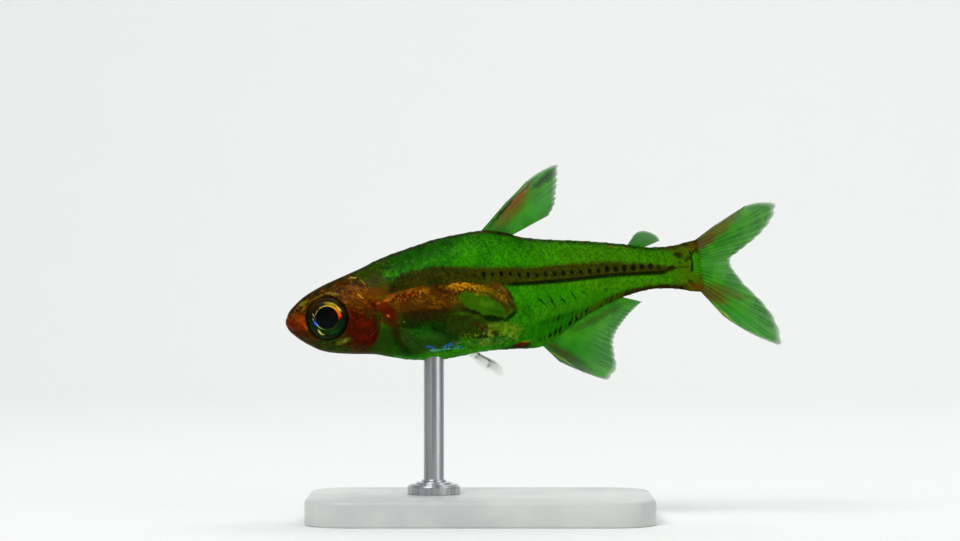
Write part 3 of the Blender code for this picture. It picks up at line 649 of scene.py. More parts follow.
HEAD_STROKES = (
    ((1.1, 1.0), (3.7, 1.7), 0.8, 0.9, (56, 40, 2), 0.9),
    ((3.7, 1.75), (4.9, 1.6), 0.8, 0.9, (44, 46, 2), 0.8),
    ((2.6, 1.5), (3.2, 1.35), 0.3, 0.9, (86, 24, 4), 0.7),
    ((3.1, 0.7), (4.6, 0.62), 1.25, 0.7, (102, 54, 3), 0.95),
    ((3.1, 1.25), (3.9, 1.1), 0.35, 0.9, (124, 72, 5), 0.75),
    ((3.4, 0.75), (4.1, 0.95), 0.4, 0.8, (142, 82, 5), 0.75),
    ((4.1, 0.25), (5.0, 0.15), 0.7, 0.8, (100, 32, 1), 0.9),
    ((3.0, 0.15), (3.7, 0.0), 0.55, 0.9, (90, 30, 2), 0.85),
    ((3.3, -0.45), (3.9, -1.35), 1.7, 0.4, (70, 12, 0), 1.0),
    ((3.6, -0.5), (4.0, -0.75), 0.55, 0.9, (98, 17, 1), 0.85),
    ((3.5, -1.15), (3.95, -1.5), 0.5, 0.9, (92, 12, 1), 0.7),
    # The next stroke is painted shade in the gill opening, tinted dark red.
    ((4.3, -0.1), (4.45, -1.35), 0.4, 0.9, (42, 9, 1), 0.8),
    ((3.1, -1.7), (4.3, -2.0), 0.4, 0.8, (40, 34, 1), 0.85),
    ((0.15, -0.1), (0.9, -0.15), 1.05, 0.6, (112, 36, 1), 0.97),
    ((0.55, 0.1), (0.95, -0.2), 0.5, 0.8, (150, 58, 4), 0.85),
    ((0.85, -0.3), (0.98, -0.55), 0.2, 0.8, (176, 78, 12), 0.7),
    ((0.15, -0.55), (0.9, -0.8), 0.5, 0.8, (66, 28, 1), 0.92),
    ((0.7, -0.95), (1.6, -1.45), 0.55, 0.8, (46, 50, 2), 0.92),
    ((1.5, -1.45), (3.0, -1.85), 0.5, 0.8, (24, 54, 2), 0.95),
    ((1.3, -1.2), (2.7, -1.34), 0.3, 0.8, (13, 36, 1), 0.95),
    ((0.9, -0.9), (1.2, -1.15), 0.16, 0.9, (96, 40, 4), 0.7),
    ((0.68, 0.62), (1.1, 0.84), 0.28, 0.8, (108, 110, 10), 0.9),
    ((0.85, 0.42), (1.05, 0.6), 0.24, 0.9, (126, 84, 6), 0.7),
    ((1.35, 0.83), (2.1, 1.1), 0.13, 0.8, (104, 84, 16), 0.85),
    ((2.05, 1.12), (2.8, 0.93), 0.15, 0.8, (136, 116, 30), 0.92),
    ((1.5, 0.78), (2.75, 0.9), 0.16, 0.8, (26, 18, 1), 0.9),
    ((0.98, 0.3), (1.06, -0.5), 0.14, 0.9, (40, 24, 1), 0.8),
    ((2.95, 0.6), (3.1, 0.1), 0.16, 0.9, (70, 34, 2), 0.8),
    ((1.2, -0.85), (2.1, -1.24), 0.14, 0.9, (22, 32, 1), 0.85),
    # The next two strokes are a painted silvery glint on the cheek, under the back of the eye.
    ((2.35, -1.42), (2.9, -1.28), 0.32, 0.8, (92, 112, 24), 0.9),
    ((2.6, -1.4), (2.8, -1.3), 0.12, 0.8, (132, 140, 50), 0.7),
    ((3.3, 1.7), (3.7, 1.62), 0.09, 0.7, (226, 220, 80), 0.95),
    ((3.6, 0.88), (4.0, 0.5), 0.09, 0.7, (226, 168, 36), 0.95),
    ((3.85, 1.58), (4.12, 1.2), 0.08, 0.8, (166, 100, 14), 0.85),
    ((4.55, 0.26), (4.72, 0.3), 0.14, 0.8, (172, 98, 14), 0.7),
    ((4.88, 0.34), (5.2, 0.36), 0.15, 0.8, (190, 108, 18), 0.75),
    ((5.3, 0.48), (5.42, 0.56), 0.12, 0.8, (176, 92, 14), 0.6),
    ((4.97, -0.38), (5.06, -0.44), 0.17, 0.7, (186, 98, 40), 0.9),
    ((3.05, 0.1), (3.2, -0.25), 0.12, 0.8, (112, 60, 8), 0.7),
    ((4.62, -0.95), (4.95, -1.95), 0.65, 0.7, (36, 64, 2), 0.92),
    ((4.6, -0.5), (5.35, -0.92), 0.62, 0.7, (60, 26, 1), 0.95),
)
REAR_STROKES = (
    ((12.3, -0.45), (12.75, -1.0), 0.13, 0.8, (3, 50, 1), 0.95),
    ((12.85, -0.35), (13.2, -1.2), 0.13, 0.8, (3, 50, 1), 0.95),
    ((13.35, -0.5), (13.75, -1.05), 0.12, 0.8, (4, 54, 1), 0.9),
    ((13.95, -0.36), (14.25, -0.95), 0.11, 0.8, (5, 54, 1), 0.9),
    ((14.55, -0.45), (14.8, -0.78), 0.1, 0.8, (8, 58, 1), 0.8),
    ((15.7, -0.48), (15.8, -0.7), 0.09, 0.8, (10, 58, 1), 0.7),
    ((19.35, 0.68), (19.6, 0.52), 0.38, 0.9, (28, 24, 2), 0.88),
    ((18.9, 0.08), (19.25, 0.0), 0.26, 0.8, (32, 6, 1), 0.92),
    ((19.2, 0.02), (20.05, -0.05), 0.08, 0.8, (18, 26, 1), 0.85),
    ((19.85, -0.7), (20.05, -0.95), 0.32, 0.9, (36, 24, 2), 0.85),
    ((19.95, -0.95), (20.6, -1.3), 0.55, 0.8, (94, 58, 3), 0.85),
    ((20.1, 0.95), (20.6, 1.05), 0.45, 0.8, (84, 60, 3), 0.85),
    ((20.06, 0.5), (20.45, 0.86), 0.12, 0.8, (16, 22, 1), 0.9),
    ((10.2, 3.0), (12.3, 2.5), 0.14, 0.8, (40, 24, 2), 0.85),
    ((16.1, 1.5), (16.6, 1.4), 0.1, 0.8, (156, 146, 50), 0.7),
    ((16.75, 1.36), (17.3, 1.24), 0.1, 0.8, (140, 132, 40), 0.6),
)
RAMP, RAMP_ZEROS = 40.0, (0.25, 0.5)
ELSEWHERE = (31.0, 17.0, 5.0)
LINE_LOW, LINE_SPAN = -5.0, 10.0
MAPPING_SHIFT = (
    ACROSS * ACROSS * BODY_CENTRE_U - UP * SNOUT_HEIGHT,
    0.0,
    -UP * ACROSS * BODY_CENTRE_U - ACROSS * SNOUT_HEIGHT,
)


def fish_place(here):
    """A place on the object brought to fish millimetres."""
    turn, larger = (0, HEAD_DOWN, 0), (1 / MM,) * 3
    turned = {"Vector": here, "Location": MAPPING_SHIFT, "Rotation": turn, "Scale": larger}
    return here.node("ShaderNodeMapping", {}, turned)


def measures(place):
    """How far along and how far up the flank a place is, each read by a straight ramp of grey."""
    found = []
    for zero, turn in zip(RAMP_ZEROS, (0.0, math.pi / 2)):
        laid = {"Vector": place, "Location": (zero, 0, 0), "Rotation": (0, turn, 0), "Scale": (1 / RAMP,) * 3}
        ramp = place.node("ShaderNodeMapping", {}, laid)
        grey = ramp.node("ShaderNodeTexGradient", {}, {"Vector": ramp}, "Fac")
        found.append((grey - zero) * RAMP)
    return found


def ragged(place, u, w, amount, scale):
    """The same place pushed about a little, which breaks up the edge of whatever is painted with it."""
    aside = place.node("ShaderNodeMapping", {}, {"Vector": place, "Location": ELSEWHERE})
    return u + (grain(place, scale, 3.0) - 0.5) * amount, w + (grain(aside, scale, 3.0) - 0.5) * amount


def line(u, points):
    """The height of a measured line at u."""
    left, right = points[0][0], points[-1][0]
    bends = [((x - left) / (right - left), (y - LINE_LOW) / LINE_SPAN) for x, y in points]
    share = (u - left) / (right - left)
    return share.node("ShaderNodeFloatCurve", {"bends": bends}, {"Value": share}) * LINE_SPAN + LINE_LOW


def stroke(spot, start, end, breadth, softness, strength=1.0):
    """The strength inside a long soft oval between two places of the flank, 0 outside it."""
    u, w = spot
    length, half = math.dist(start, end) / 2 + breadth / 2, breadth / 2
    middle_u, middle_w = (start[0] + end[0]) / 2, (start[1] + end[1]) / 2
    turned = math.atan2(end[1] - start[1], end[0] - start[0])
    c, s = math.cos(turned), math.sin(turned)
    along = u.sum("MULTIPLY_ADD", u, c / length, -(middle_u * c + middle_w * s) / length)
    along = w.sum("MULTIPLY_ADD", w, s / length, along)
    aside = u.sum("MULTIPLY_ADD", u, -s / half, (middle_u * s - middle_w * c) / half)
    aside = w.sum("MULTIPLY_ADD", w, c / half, aside)
    oval = aside.sum("MULTIPLY_ADD", aside, aside, along * along)
    return rise(oval, 1.0, (1.0 - softness) ** 2, strength)


# %% Layers of paint
class Coat:
    """Paint that is laid layer on layer. Its tone is the colour that shows."""

    def __init__(self, tone):
        self.tone = tone

    def over(self, tone, mask):
        """Lays another colour over the coat where the mask is 1."""
        self.tone = mix(self.tone, tone, mask)

    def lay(self, red, green, blue, mask):
        """Lays one screen colour over the coat where the mask is 1."""
        self.over(screen(red, green, blue), mask)

    def strokes(self, spot, table):
        """Lays a table of strokes over the coat, one after another."""
        for start, end, breadth, softness, paint, strength in table:
            self.lay(*paint, stroke(spot, start, end, breadth, softness, strength))


class Marks:
    """What steers the paint at a place: its two measures, plain and ragged, and clouds of several sizes."""

    def __init__(self, place):
        self.place = place
        self.u, self.w = measures(place)
        self.loose = ragged(place, self.u, self.w, 0.26, 3.4)
        self.tight = ragged(place, self.u, self.w, 0.16, 7.0)
        self.broad, self.fine = grain(place, 0.9, 3.0), grain(place, 8.0, 3.0)
        self.clumps = grain(place, 2.6, 4.0)
        self.patchy = self.clumps * 0.55 + self.fine * 0.45
        self.back, self.belly = line(self.u, BACK), line(self.u, BELLY)


print("strokes:", sum(map(len, (FLESH_STROKES, GUT_STROKES, BELLY_STROKES, HEAD_STROKES, REAR_STROKES))))

# %% [markdown]
# The body is painted in five turns. Clear green flesh comes first, darker along the back, with a seam at
# every segment of muscle. The brown band follows, and in it the spine, as a row of dots.


# %% Paint the flesh and the spine
def paint_flesh(coat, at):
    """Green flesh, and the seams between its segments."""
    u, w, fine, back = at.u, at.w, at.fine, at.back
    coat.lay(78, 144, 1, rise(u, 11.0, 15.0) * 0.55)
    coat.lay(20, 78, 1, rise(back - w, 0.9, 0.1) * (0.7 - rise(u, 10.6, 12.4) * 0.45))
    coat.lay(10, 58, 0, rise(fine, 0.54, 0.36) * 0.52)
    coat.lay(74, 150, 4, rise(fine, 0.54, 0.7) * 0.4)
    bent = u + abs(w - 0.45) * 0.55
    seam = rise(zigzag(bent, VERTEBRA / 2), 0.06, 0.0)
    coat.lay(14, 80, 1, seam * rise(fine, 0.3, 0.6) * 0.45)
    coat.strokes(at.loose, FLESH_STROKES)
    shade = rise(at.clumps, 0.48, 0.62) * rise(back - w, 0.9, 0.1) * rise(u, 10.0, 7.5)
    coat.lay(6, 34, 0, shade * 0.7)


def paint_band(coat, at):
    """The brown band, and the spine in it."""
    u, w, fine, clumps = at.u, at.w, at.fine, at.clumps
    loose_u, loose_w = at.loose
    top, low = line(loose_u, BAND_TOP), line(loose_u, BAND_LOW)
    inside = rise(top - loose_w, -0.13, 0.15) * rise(loose_w - low, -0.03, 0.05) * rise(loose_u, 4.95, 5.45)
    band = Coat(mix(screen(56, 46, 2), screen(34, 32, 1), rise(clumps, 0.42, 0.58)))
    band.lay(54, 57, 2, rise(u, 8.4, 10.0) * rise(clumps, 0.3, 0.6))
    band.lay(56, 40, 2, rise(top - loose_w, 0.32, 0.1) * rise(u, 8.0, 10.0) * 0.6)
    band.lay(34, 26, 1, rise(loose_u, 6.4, 5.4) * 0.7)
    band.lay(16, 13, 1, rise(fine, 0.5, 0.36) * 0.55)
    band.lay(84, 70, 3, rise(fine, 0.54, 0.7) * 0.3)
    coat.over(band.tone, inside * 0.95)
    spine = line(u, SPINE)
    beat, off = zigzag(u, VERTEBRA / 2), loose_w - spine
    near = (beat * beat * 1.7 + off * off * 0.9) * (1 - rise(u, 14.5, 16.5) * 0.4)
    dots = rise(near, 0.0225, 0.008) * rise(u, 8.6, 10.0) * rise(u, 18.9, 18.2)
    coat.lay(4, 7, 0, dots * rise(fine, 0.28, 0.46) * 0.95)
    under = rise(abs(off + 0.24), 0.09, 0.02) * rise(u, 10.5, 11.5) * rise(u, 18.5, 17.5)
    coat.lay(84, 76, 6, under * rise(cells(at.place, 3.6), 0.45, 0.15) * 0.6)
    black = rise(abs(w - line(u, BAND_LOW) - 0.02), 0.15, 0.05) * rise(u, 10.7, 11.3) * rise(u, 19.2, 18.6)
    coat.lay(6, 16, 1, black * rise(fine, 0.25, 0.45) * 0.94)


# %% [markdown]
# Next come the gut in its amber lining, both with painted pinpoint highlights, the nape over it, and the fat
# and organs under it.


# %% Paint the gut
def paint_gut(coat, at):
    """The gut and what lies round it."""
    u, w, fine, clumps, patchy, loose = at.u, at.w, at.fine, at.clumps, at.patchy, at.loose
    coat.strokes(loose, GUT_STROKES)
    gut = stroke(loose, (5.0, 0.25), (9.6, 0.15), 1.3, 0.7)
    coat.lay(36, 10, 1, gut * rise(clumps, 0.5, 0.62) * 0.8)
    # Painted pinpoint highlights in amber over the gut.
    coat.lay(160, 96, 6, gut * rise(patchy, 0.49, 0.62) * 0.65)
    coat.lay(44, 18, 1, gut * rise(fine, 0.48, 0.34) * 0.75)
    lining = stroke(loose, (8.1, 0.6), (9.9, 0.32), 0.6, 0.8)
    # Painted pinpoint highlights along the top of the lining.
    coat.lay(232, 160, 22, lining * rise(fine, 0.5, 0.64) * 0.7)
    lining = lining + stroke(loose, (4.8, 0.28), (7.2, 0.62), 0.5, 0.8)
    lining = lining + stroke(loose, (10.2, 0.3), (11.15, -0.75), 0.5, 0.8)
    # More painted pinpoint highlights over all of the lining, then its own dark specks.
    coat.lay(186, 108, 14, lining * rise(fine, 0.52, 0.66) * 0.6)
    coat.lay(56, 26, 2, lining * rise(fine, 0.47, 0.34) * 0.8)
    nape = rise(abs(u - 5.0), 1.1, 0.4) * rise(w, 1.0, 1.4)
    coat.lay(14, 40, 0, nape * rise(patchy, 0.5, 0.39) * 0.7)
    coat.lay(92, 104, 8, nape * rise(patchy, 0.51, 0.62) * 0.45)
    fat = stroke(loose, (8.8, -2.0), (11.2, -2.05), 1.3, 0.7)
    coat.lay(146, 166, 44, fat * rise(patchy, 0.5, 0.6) * 0.65)
    coat.lay(20, 40, 1, fat * rise(patchy, 0.48, 0.39) * 0.75)
    organ = stroke(loose, (5.4, -1.3), (8.8, -1.4), 1.5, 0.7)
    coat.lay(30, 100, 4, organ * rise(patchy, 0.52, 0.64) * 0.5)
    coat.lay(8, 20, 0, organ * rise(patchy, 0.47, 0.37) * 0.6)
    coat.strokes(at.tight, BELLY_STROKES)
    # Dark specks break up the painted silvery reflection low on the belly.
    sheen_streak = stroke(loose, (6.5, -2.3), (8.6, -2.35), 0.6, 0.5)
    coat.lay(12, 56, 14, sheen_streak * rise(fine, 0.54, 0.42) * 0.75)


# %% [markdown]
# The head is brown, and red over the gill, and ends at the edge of the gill cover. Last come the tail,
# the dashes above the anal fin, and the dark edges of back and belly.


# %% Paint the head and the tail
def paint_head(coat, at):
    """The head, as far as the edge of the gill cover."""
    u, w, fine, clumps, patchy = at.u, at.w, at.fine, at.clumps, at.patchy
    loose_u, loose_w = at.loose
    head = rise(u + abs(w + 0.3) * 0.25, 5.0, 4.3) * rise(u * 0.9 + w, 5.4, 4.7)
    coat.over(mix(screen(70, 42, 3), screen(52, 32, 2), at.broad), head)
    coat.strokes(at.tight, HEAD_STROKES)
    coat.lay(26, 12, 1, head * rise(clumps, 0.5, 0.66) * 0.62)
    coat.lay(28, 14, 0, head * rise(patchy, 0.49, 0.38) * 0.55)
    coat.lay(160, 88, 4, head * rise(patchy, 0.51, 0.64) * rise(w, -0.4, 0.4) * 0.6)
    red = head * rise(patchy, 0.51, 0.64) * rise(w, 0.2, -0.5) * rise(abs(u - 2.0), 0.7, 1.2)
    coat.lay(132, 30, 1, red * 0.4)
    jaw = head * rise(patchy, 0.5, 0.62) * rise(w, -0.9, -1.15) * rise(abs(u - 2.0), 1.3, 0.9)
    coat.lay(46, 84, 4, jaw * 0.6)
    coat.lay(44, 20, 0, head * rise(fine, 0.46, 0.34) * 0.4)
    share = (loose_u - GILL_CENTRE[0]) / GILL_REACH[0]
    fall = (loose_w - GILL_CENTRE[1]) / GILL_REACH[1]
    ring = share * share + fall * fall - 1.05
    behind = rise(ring, 0.05, 0.3) * rise(u, 3.5, 4.1) * rise(w, -0.7, -1.2)
    coat.lay(30, 58, 2, behind * rise(u, 5.2, 4.8) * 0.9)
    # A dark line along the free edge of the gill cover is painted shade in its slit.
    coat.lay(26, 6, 1, rise(abs(ring), 0.16, 0.0) * rise(u, 3.6, 4.2) * 0.5)


def paint_tail(coat, at):
    """The rear half and the edges of the body."""
    u, w, fine, clumps = at.u, at.w, at.fine, at.clumps
    loose_u, loose_w = at.loose
    tail = mix(screen(72, 104, 2), screen(88, 70, 2), rise(abs(w), 0.4, 0.95) * 0.8)
    coat.over(tail, rise(loose_u, 18.8, 19.8) * 0.72)
    coat.lay(34, 30, 1, rise(loose_u, 18.9, 19.7) * rise(clumps, 0.5, 0.62) * 0.75)
    root = rise(u, 20.1, 20.2) * rise(abs(w - 0.05), 0.6, 0.35)
    coat.lay(54, 150, 3, root * 0.85)
    thread = rise(zigzag(w, 0.062), 0.034, 0.006) * rise(u, 20.1, 20.3)
    coat.lay(16, 62, 1, thread * 0.5)
    end_line = rise(abs(loose_u - 20.08), 0.07, 0.02) * rise(w, -0.4, -0.2) * rise(w, 0.85, 0.65)
    coat.lay(10, 26, 0, end_line * 0.9)
    coat.strokes(at.tight, REAR_STROKES)
    dash = rise(zigzag(loose_u - w * 0.35, 0.115), 0.085, 0.045) * rise(clumps, 0.6, 0.42)
    from_row = abs(loose_w - at.belly + u * 0.04 - 0.78)
    row = rise(from_row, 0.26, 0.08) * rise(u, 11.8, 12.5) * rise(u, 17.3, 16.6)
    coat.lay(62, 52, 2, row * rise(u, 13.4, 15.2) * 0.6)
    coat.lay(9, 14, 1, row * dash * 0.94)
    second = stroke(at.loose, (12.1, -1.85), (14.6, -1.38), 0.36, 0.9)
    coat.lay(3, 42, 0, second * (dash * 0.7 + 0.22))
    low_edge = rise(loose_w - at.belly, 0.3, 0.1) * rise(u, 15.5, 17.4)
    coat.lay(50, 12, 1, low_edge * rise(u, 20.0, 19.4) * 0.92)
    coat.lay(12, 5, 0, low_edge * rise(fine, 0.44, 0.56) * rise(u, 20.0, 19.4) * 0.8)
    # A dark line along the back is painted shade at the outline of the clear body; its brown specks are the
    # skin's own colour.
    top_edge = rise(at.back - loose_w, 0.26, 0.07)
    coat.lay(8, 24, 0, top_edge * rise(fine, 0.36, 0.52) * 0.92)
    coat.lay(64, 34, 3, top_edge * rise(clumps, 0.52, 0.62) * 0.7)
    dark_dots = rise(cells(at.place, 5.2), 0.22, 0.1) * rise(w, 0.9, 1.5)
    coat.lay(6, 34, 0, dark_dots * 0.7)
    pale_dots = rise(cells(at.place, 2.9), 0.16, 0.06) * rise(w, 1.0, 1.6) * rise(u, 4.4, 5.0)
    coat.lay(112, 158, 20, pale_dots * 0.6)


# %% Finish the skin
def body_colour(place):
    """The whole colour of the body at a place, shared by the skin and the scales, and its fine cloud."""
    at = Marks(place)
    coat = Coat(mix(screen(28, 118, 0), screen(50, 148, 1), rise(at.broad, 0.35, 0.65)))
    for paint in (paint_flesh, paint_band, paint_gut, paint_head, paint_tail):
        paint(coat, at)
    return coat.tone, at.fine


def finish_skin(name, bump_of):
    """A wet, slightly see-through skin with the colours of the body."""
    made, shader, here = new_finish(
        name, Roughness=0.3, Specular_IOR_Level=0.016, Subsurface_Weight=0.12, Subsurface_Scale=0.3 * MM,
        Subsurface_Radius=(1.0, 0.7, 0.25), Coat_Weight=0.006, Coat_Roughness=0.08,
    )
    place = fish_place(here)
    colour, fine = body_colour(place)
    colour, height = bump_of(place, colour, fine)
    colour.feed(shader, "Base Color")
    (grain(place, 4.0) * 0.2 + 0.24).feed(shader, "Roughness")
    relief_of(height, shader, 0.02)
    return made


def skin_relief(place, colour, fine):
    """Fine pebbling of the skin itself."""
    return colour, fine * 0.7 + cells(place, 9.0) * 0.4


skin_finish = finish_skin("skin_finish", skin_relief)
dress(skin, skin_finish)
print("skin graph has", len(skin_finish.node_tree.nodes), "nodes")

# %% [markdown]
# ## Eyes
# The eye is the liveliest part of the fish. A real one is a flat-fronted ball: a black pupil with the
# lens bulging a little through it, a metallic iris, and a clear window over both. Here each eye is one
# ball pressed flat, with a fine groove round the pupil, and its clear coat plays the window. The iris is
# painted where the light caught it: a gold ring, a wedge that runs from yellow through orange to red, a
# blue streak low in front, and dark green below.

# %% Shape the eyes
PUPIL = (2.03, -0.10, 0.54)
EYE_SEGMENTS, EYE_RINGS = 96, 72
EYE_FULLNESS, EYE_TILT, EYE_SPREAD = 2.8, 0.15, 1.04
EYE_GROOVES = ((PUPIL[2] + 0.02, 0.018, 0.03), (0.9, 0.02, 0.05))


def eye(name, side, node):
    """One eyeball, its pole turned outwards so that its rings lie round the pupil."""
    fresh()
    bpy.ops.mesh.primitive_uv_sphere_add(
        segments=EYE_SEGMENTS, ring_count=EYE_RINGS, radius=1.0, location=(0, 0, 0)
    )
    ball = bpy.context.object
    across, upward, out = corners_of(ball).T
    from_middle = np.hypot(across, upward)
    fuller = np.maximum(1 - from_middle**EYE_FULLNESS, 0.0) ** (1 / EYE_FULLNESS)
    depth = np.sign(out) * fuller * EYE_HALF_DEPTH + across * EYE_TILT
    for radius, deep, breadth in EYE_GROOVES:
        depth -= (out > 0) * deep * hump(from_middle - radius, breadth)
    across, upward = across * EYE_RADIUS * EYE_SPREAD, upward * EYE_RADIUS * EYE_SPREAD
    places = (EYE_U + across, side * (EYE_Y + depth), EYE_W + upward)
    reshape(ball, np.stack(places, -1))
    bpy.ops.object.mode_set(mode="EDIT")
    bpy.ops.mesh.select_all(action="SELECT")
    bpy.ops.mesh.normals_make_consistent(inside=False)
    bpy.ops.object.mode_set(mode="OBJECT")
    into_room(ball, name)
    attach(ball, "root")
    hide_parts(node)
    return ball


eyes = [eye("eyeball_left", -1, "eye_left"), eye("eyeball_right", 1, "eye_right")]

# %% Paint the eyes
IRIS_STROKES = (
    ((1.35, 0.45), (2.1, 0.78), 0.34, 0.9, (36, 22, 3), 0.7),
    ((1.5, -0.62), (2.6, -0.75), 0.5, 0.9, (6, 44, 3), 0.9),
    ((2.0, -0.9), (2.5, -0.78), 0.22, 0.9, (14, 66, 8), 0.7),
    ((2.35, -0.5), (2.75, -0.35), 0.3, 0.9, (5, 38, 3), 0.8),
    ((2.0, 0.62), (2.4, 0.62), 0.16, 0.8, (66, 70, 16), 0.9),
    ((2.05, 0.6), (2.45, 0.5), 0.24, 0.8, (104, 100, 20), 0.95),
    ((2.26, 0.5), (2.64, 0.22), 0.38, 0.4, (160, 112, 14), 0.95),
    ((2.4, 0.34), (2.66, 0.04), 0.28, 0.6, (232, 120, 10), 0.95),
    ((2.3, 0.6), (2.56, 0.46), 0.12, 0.8, (164, 160, 40), 0.9),
    ((2.55, 0.44), (2.76, 0.12), 0.12, 0.9, (240, 212, 60), 0.95),
    ((2.58, 0.04), (2.68, -0.08), 0.26, 0.8, (236, 84, 12), 0.95),
    ((2.58, -0.2), (2.66, -0.14), 0.16, 0.9, (206, 30, 8), 0.9),
    ((1.36, 0.2), (1.42, 0.02), 0.09, 0.8, (168, 136, 96), 0.85),
    ((1.34, -0.02), (1.36, -0.16), 0.07, 0.8, (132, 150, 110), 0.8),
    ((1.37, -0.22), (1.52, -0.4), 0.15, 0.7, (24, 104, 232), 0.95),
    ((1.48, -0.36), (1.6, -0.5), 0.07, 0.8, (150, 196, 200), 0.85),
    ((1.56, -0.5), (1.74, -0.6), 0.1, 0.8, (128, 156, 70), 0.9),
    ((1.7, -0.62), (1.95, -0.62), 0.1, 0.9, (84, 112, 40), 0.7),
    ((1.5, -0.62), (1.68, -0.9), 0.1, 0.8, (226, 220, 92), 0.9),
    ((1.62, -0.84), (1.78, -0.9), 0.08, 0.8, (196, 190, 80), 0.85),
)
eye_finish, shader, here = new_finish(
    "eye_finish", Roughness=0.3, Specular_IOR_Level=0.04, Coat_Weight=0.03, Coat_Roughness=0.02
)
place = fish_place(here)
u, w = measures(place)
spot = ragged(place, u, w, 0.05, 9.0)
from_middle = distance(*ragged(place, u - EYE_U, w - (EYE_W - 0.03), 0.2, 2.2))
from_pupil = distance(u - PUPIL[0], w - PUPIL[1])
fibres = grain(place, 14.0, 3.0)
iris = Coat(mix(screen(12, 14, 2), screen(8, 38, 3), rise(w, 0.1, -0.5) * rise(fibres, 0.3, 0.7)))
iris.lay(26, 22, 3, rise(w, 0.1, 0.7) * 0.7)
iris.strokes(spot, IRIS_STROKES)
gold = rise(abs(from_pupil - 0.58), 0.038, 0.01) * rise(w - u * 0.25, -0.62, -0.2)
metal = mix(screen(150, 126, 58), screen(226, 204, 56), rise(u, 1.5, 1.95))
iris.over(metal, gold * rise(grain(place, 5.0), 0.36, 0.56) * 0.95)
low_ring = rise(abs(from_pupil - 0.57), 0.04, 0.01) * rise(w, -0.35, -0.6)
iris.lay(56, 84, 24, low_ring * 0.5)
# The rim of the iris is dark, partly its own brown and green and partly painted shade where the eye sinks
# into its socket.
edge = mix(screen(52, 34, 1), screen(6, 34, 2), rise(w + u * 0.4, 1.1, 0.5))
edge = mix(edge, screen(5, 8, 1), rise(fibres, 0.42, 0.58) * 0.75)
iris.over(edge, rise(from_middle, 0.76, 0.9) * 0.92)
iris.lay(2, 3, 3, rise(from_pupil, 0.57, 0.54))
# Faint dark red and dark blue patches in the pupil are painted reflections.
iris.lay(38, 6, 3, stroke(spot, (2.3, 0.15), (2.45, -0.1), 0.2, 0.9, 0.5))
iris.lay(5, 8, 40, stroke(spot, (1.85, -0.3), (2.1, -0.4), 0.25, 0.9, 0.5))
iris.tone.feed(shader, "Base Color")
(rise(from_pupil, 0.53, 0.57) * rise(from_middle, 0.9, 0.8) * 0.15).feed(shader, "Metallic")
relief_of(rise(from_pupil, 0.5, 0.6) * fibres, shader, 0.012)
for ball in eyes:
    dress(ball, eye_finish)
print("eye graph has", len(eye_finish.node_tree.nodes), "nodes")

# %% [markdown]
# ## Scales
# Thin, clear scales cover the fish behind the head, in slanting rows that overlap like tiles, each with
# its root tucked under the one before. Only the fine net of their edges shows. One scale is modelled as
# by hand: a disc, two insets and a thickness. Its corners are then laid on the body again and again, bent
# to its curve, so all the scales together are one piece. Two unwrappings go with it: one holds each
# scale's own face, for its rings and dark rim, and one sets every scale as a tiny patch at the place of
# its root on the skin.


# %% Make one scale
def corners_and_faces(piece):
    """The corners and faces of a small pattern piece, which is then put away."""
    pattern = corners_of(piece), [tuple(face.vertices) for face in piece.data.polygons]
    bpy.data.objects.remove(piece)
    return pattern


SCALE_SIDES, SCALE_INSETS = 16, (0.13, 0.4)
fresh()
bpy.ops.mesh.primitive_circle_add(vertices=SCALE_SIDES, radius=1.0, fill_type="NGON", location=(0, 0, 0))
one_scale = bpy.context.object
bpy.ops.object.mode_set(mode="EDIT")
bpy.ops.mesh.select_all(action="SELECT")
for narrower in SCALE_INSETS:
    bpy.ops.mesh.inset(thickness=narrower)
bpy.ops.mesh.poke()
bpy.ops.object.mode_set(mode="OBJECT")
wall = one_scale.modifiers.new("thickness", "SOLIDIFY")
wall.thickness, wall.offset = 1.0, -1.0
bpy.ops.object.modifier_apply(modifier=wall.name)
SCALE_CORNERS, SCALE_FACES = corners_and_faces(one_scale)
print("one scale has", len(SCALE_FACES), "faces")

# %% Lay the scales
ROWS_ROUND = 18
SCALE_STEP = ((3.0, 0.46), (8.0, 0.5), (13.0, 0.47), (17.0, 0.4), (21.0, 0.3))
SCALE_THICK, SCALE_LIFT, SCALE_SINK, SCALE_RIM = 0.018, 0.026, 0.034, 0.005
SCALE_WIDE, SCALE_LONG, SCALE_TAPER = 0.64, 0.92, 0.12
FIRST_SCALE, LAST_SCALE = 3.3, 20.35
COVER_EDGE, COVER_BEND, COVER_BEND_W, COVER_LAP = 4.68, 0.55, 0.6, 0.8
FACE_HALF, FACE_MIDDLE = 0.48, 0.5
PATCH_HALF, PATCH_BEHIND, ROUND_SHARE, ROUND_MARGIN, LENGTH_MAPPED = 0.0015, 0.9, 0.97, 0.015, 21.0


def evenly_round(u):
    """Angles round the body and the share of its girth reached at each, which rows spaced evenly need."""
    turns = np.linspace(0, 2 * math.pi, 361)
    around = on_body(u, turns)
    girth = np.concatenate(([0], np.cumsum(np.linalg.norm(np.diff(around, axis=0), axis=1))))
    return girth / girth[-1], turns


def way_out(u, turn):
    """Directions straight out of the plain body."""
    e = 0.01
    along = on_body(u + e, turn) - on_body(u - e, turn)
    around = on_body(u, turn + e) - on_body(u, turn - e)
    out = np.cross(along, around)
    out *= np.sign(np.sum(out * on_body(u, turn) * (0, 1, 1), -1, keepdims=True)) + 1e-9
    return out / np.linalg.norm(out, axis=-1, keepdims=True)


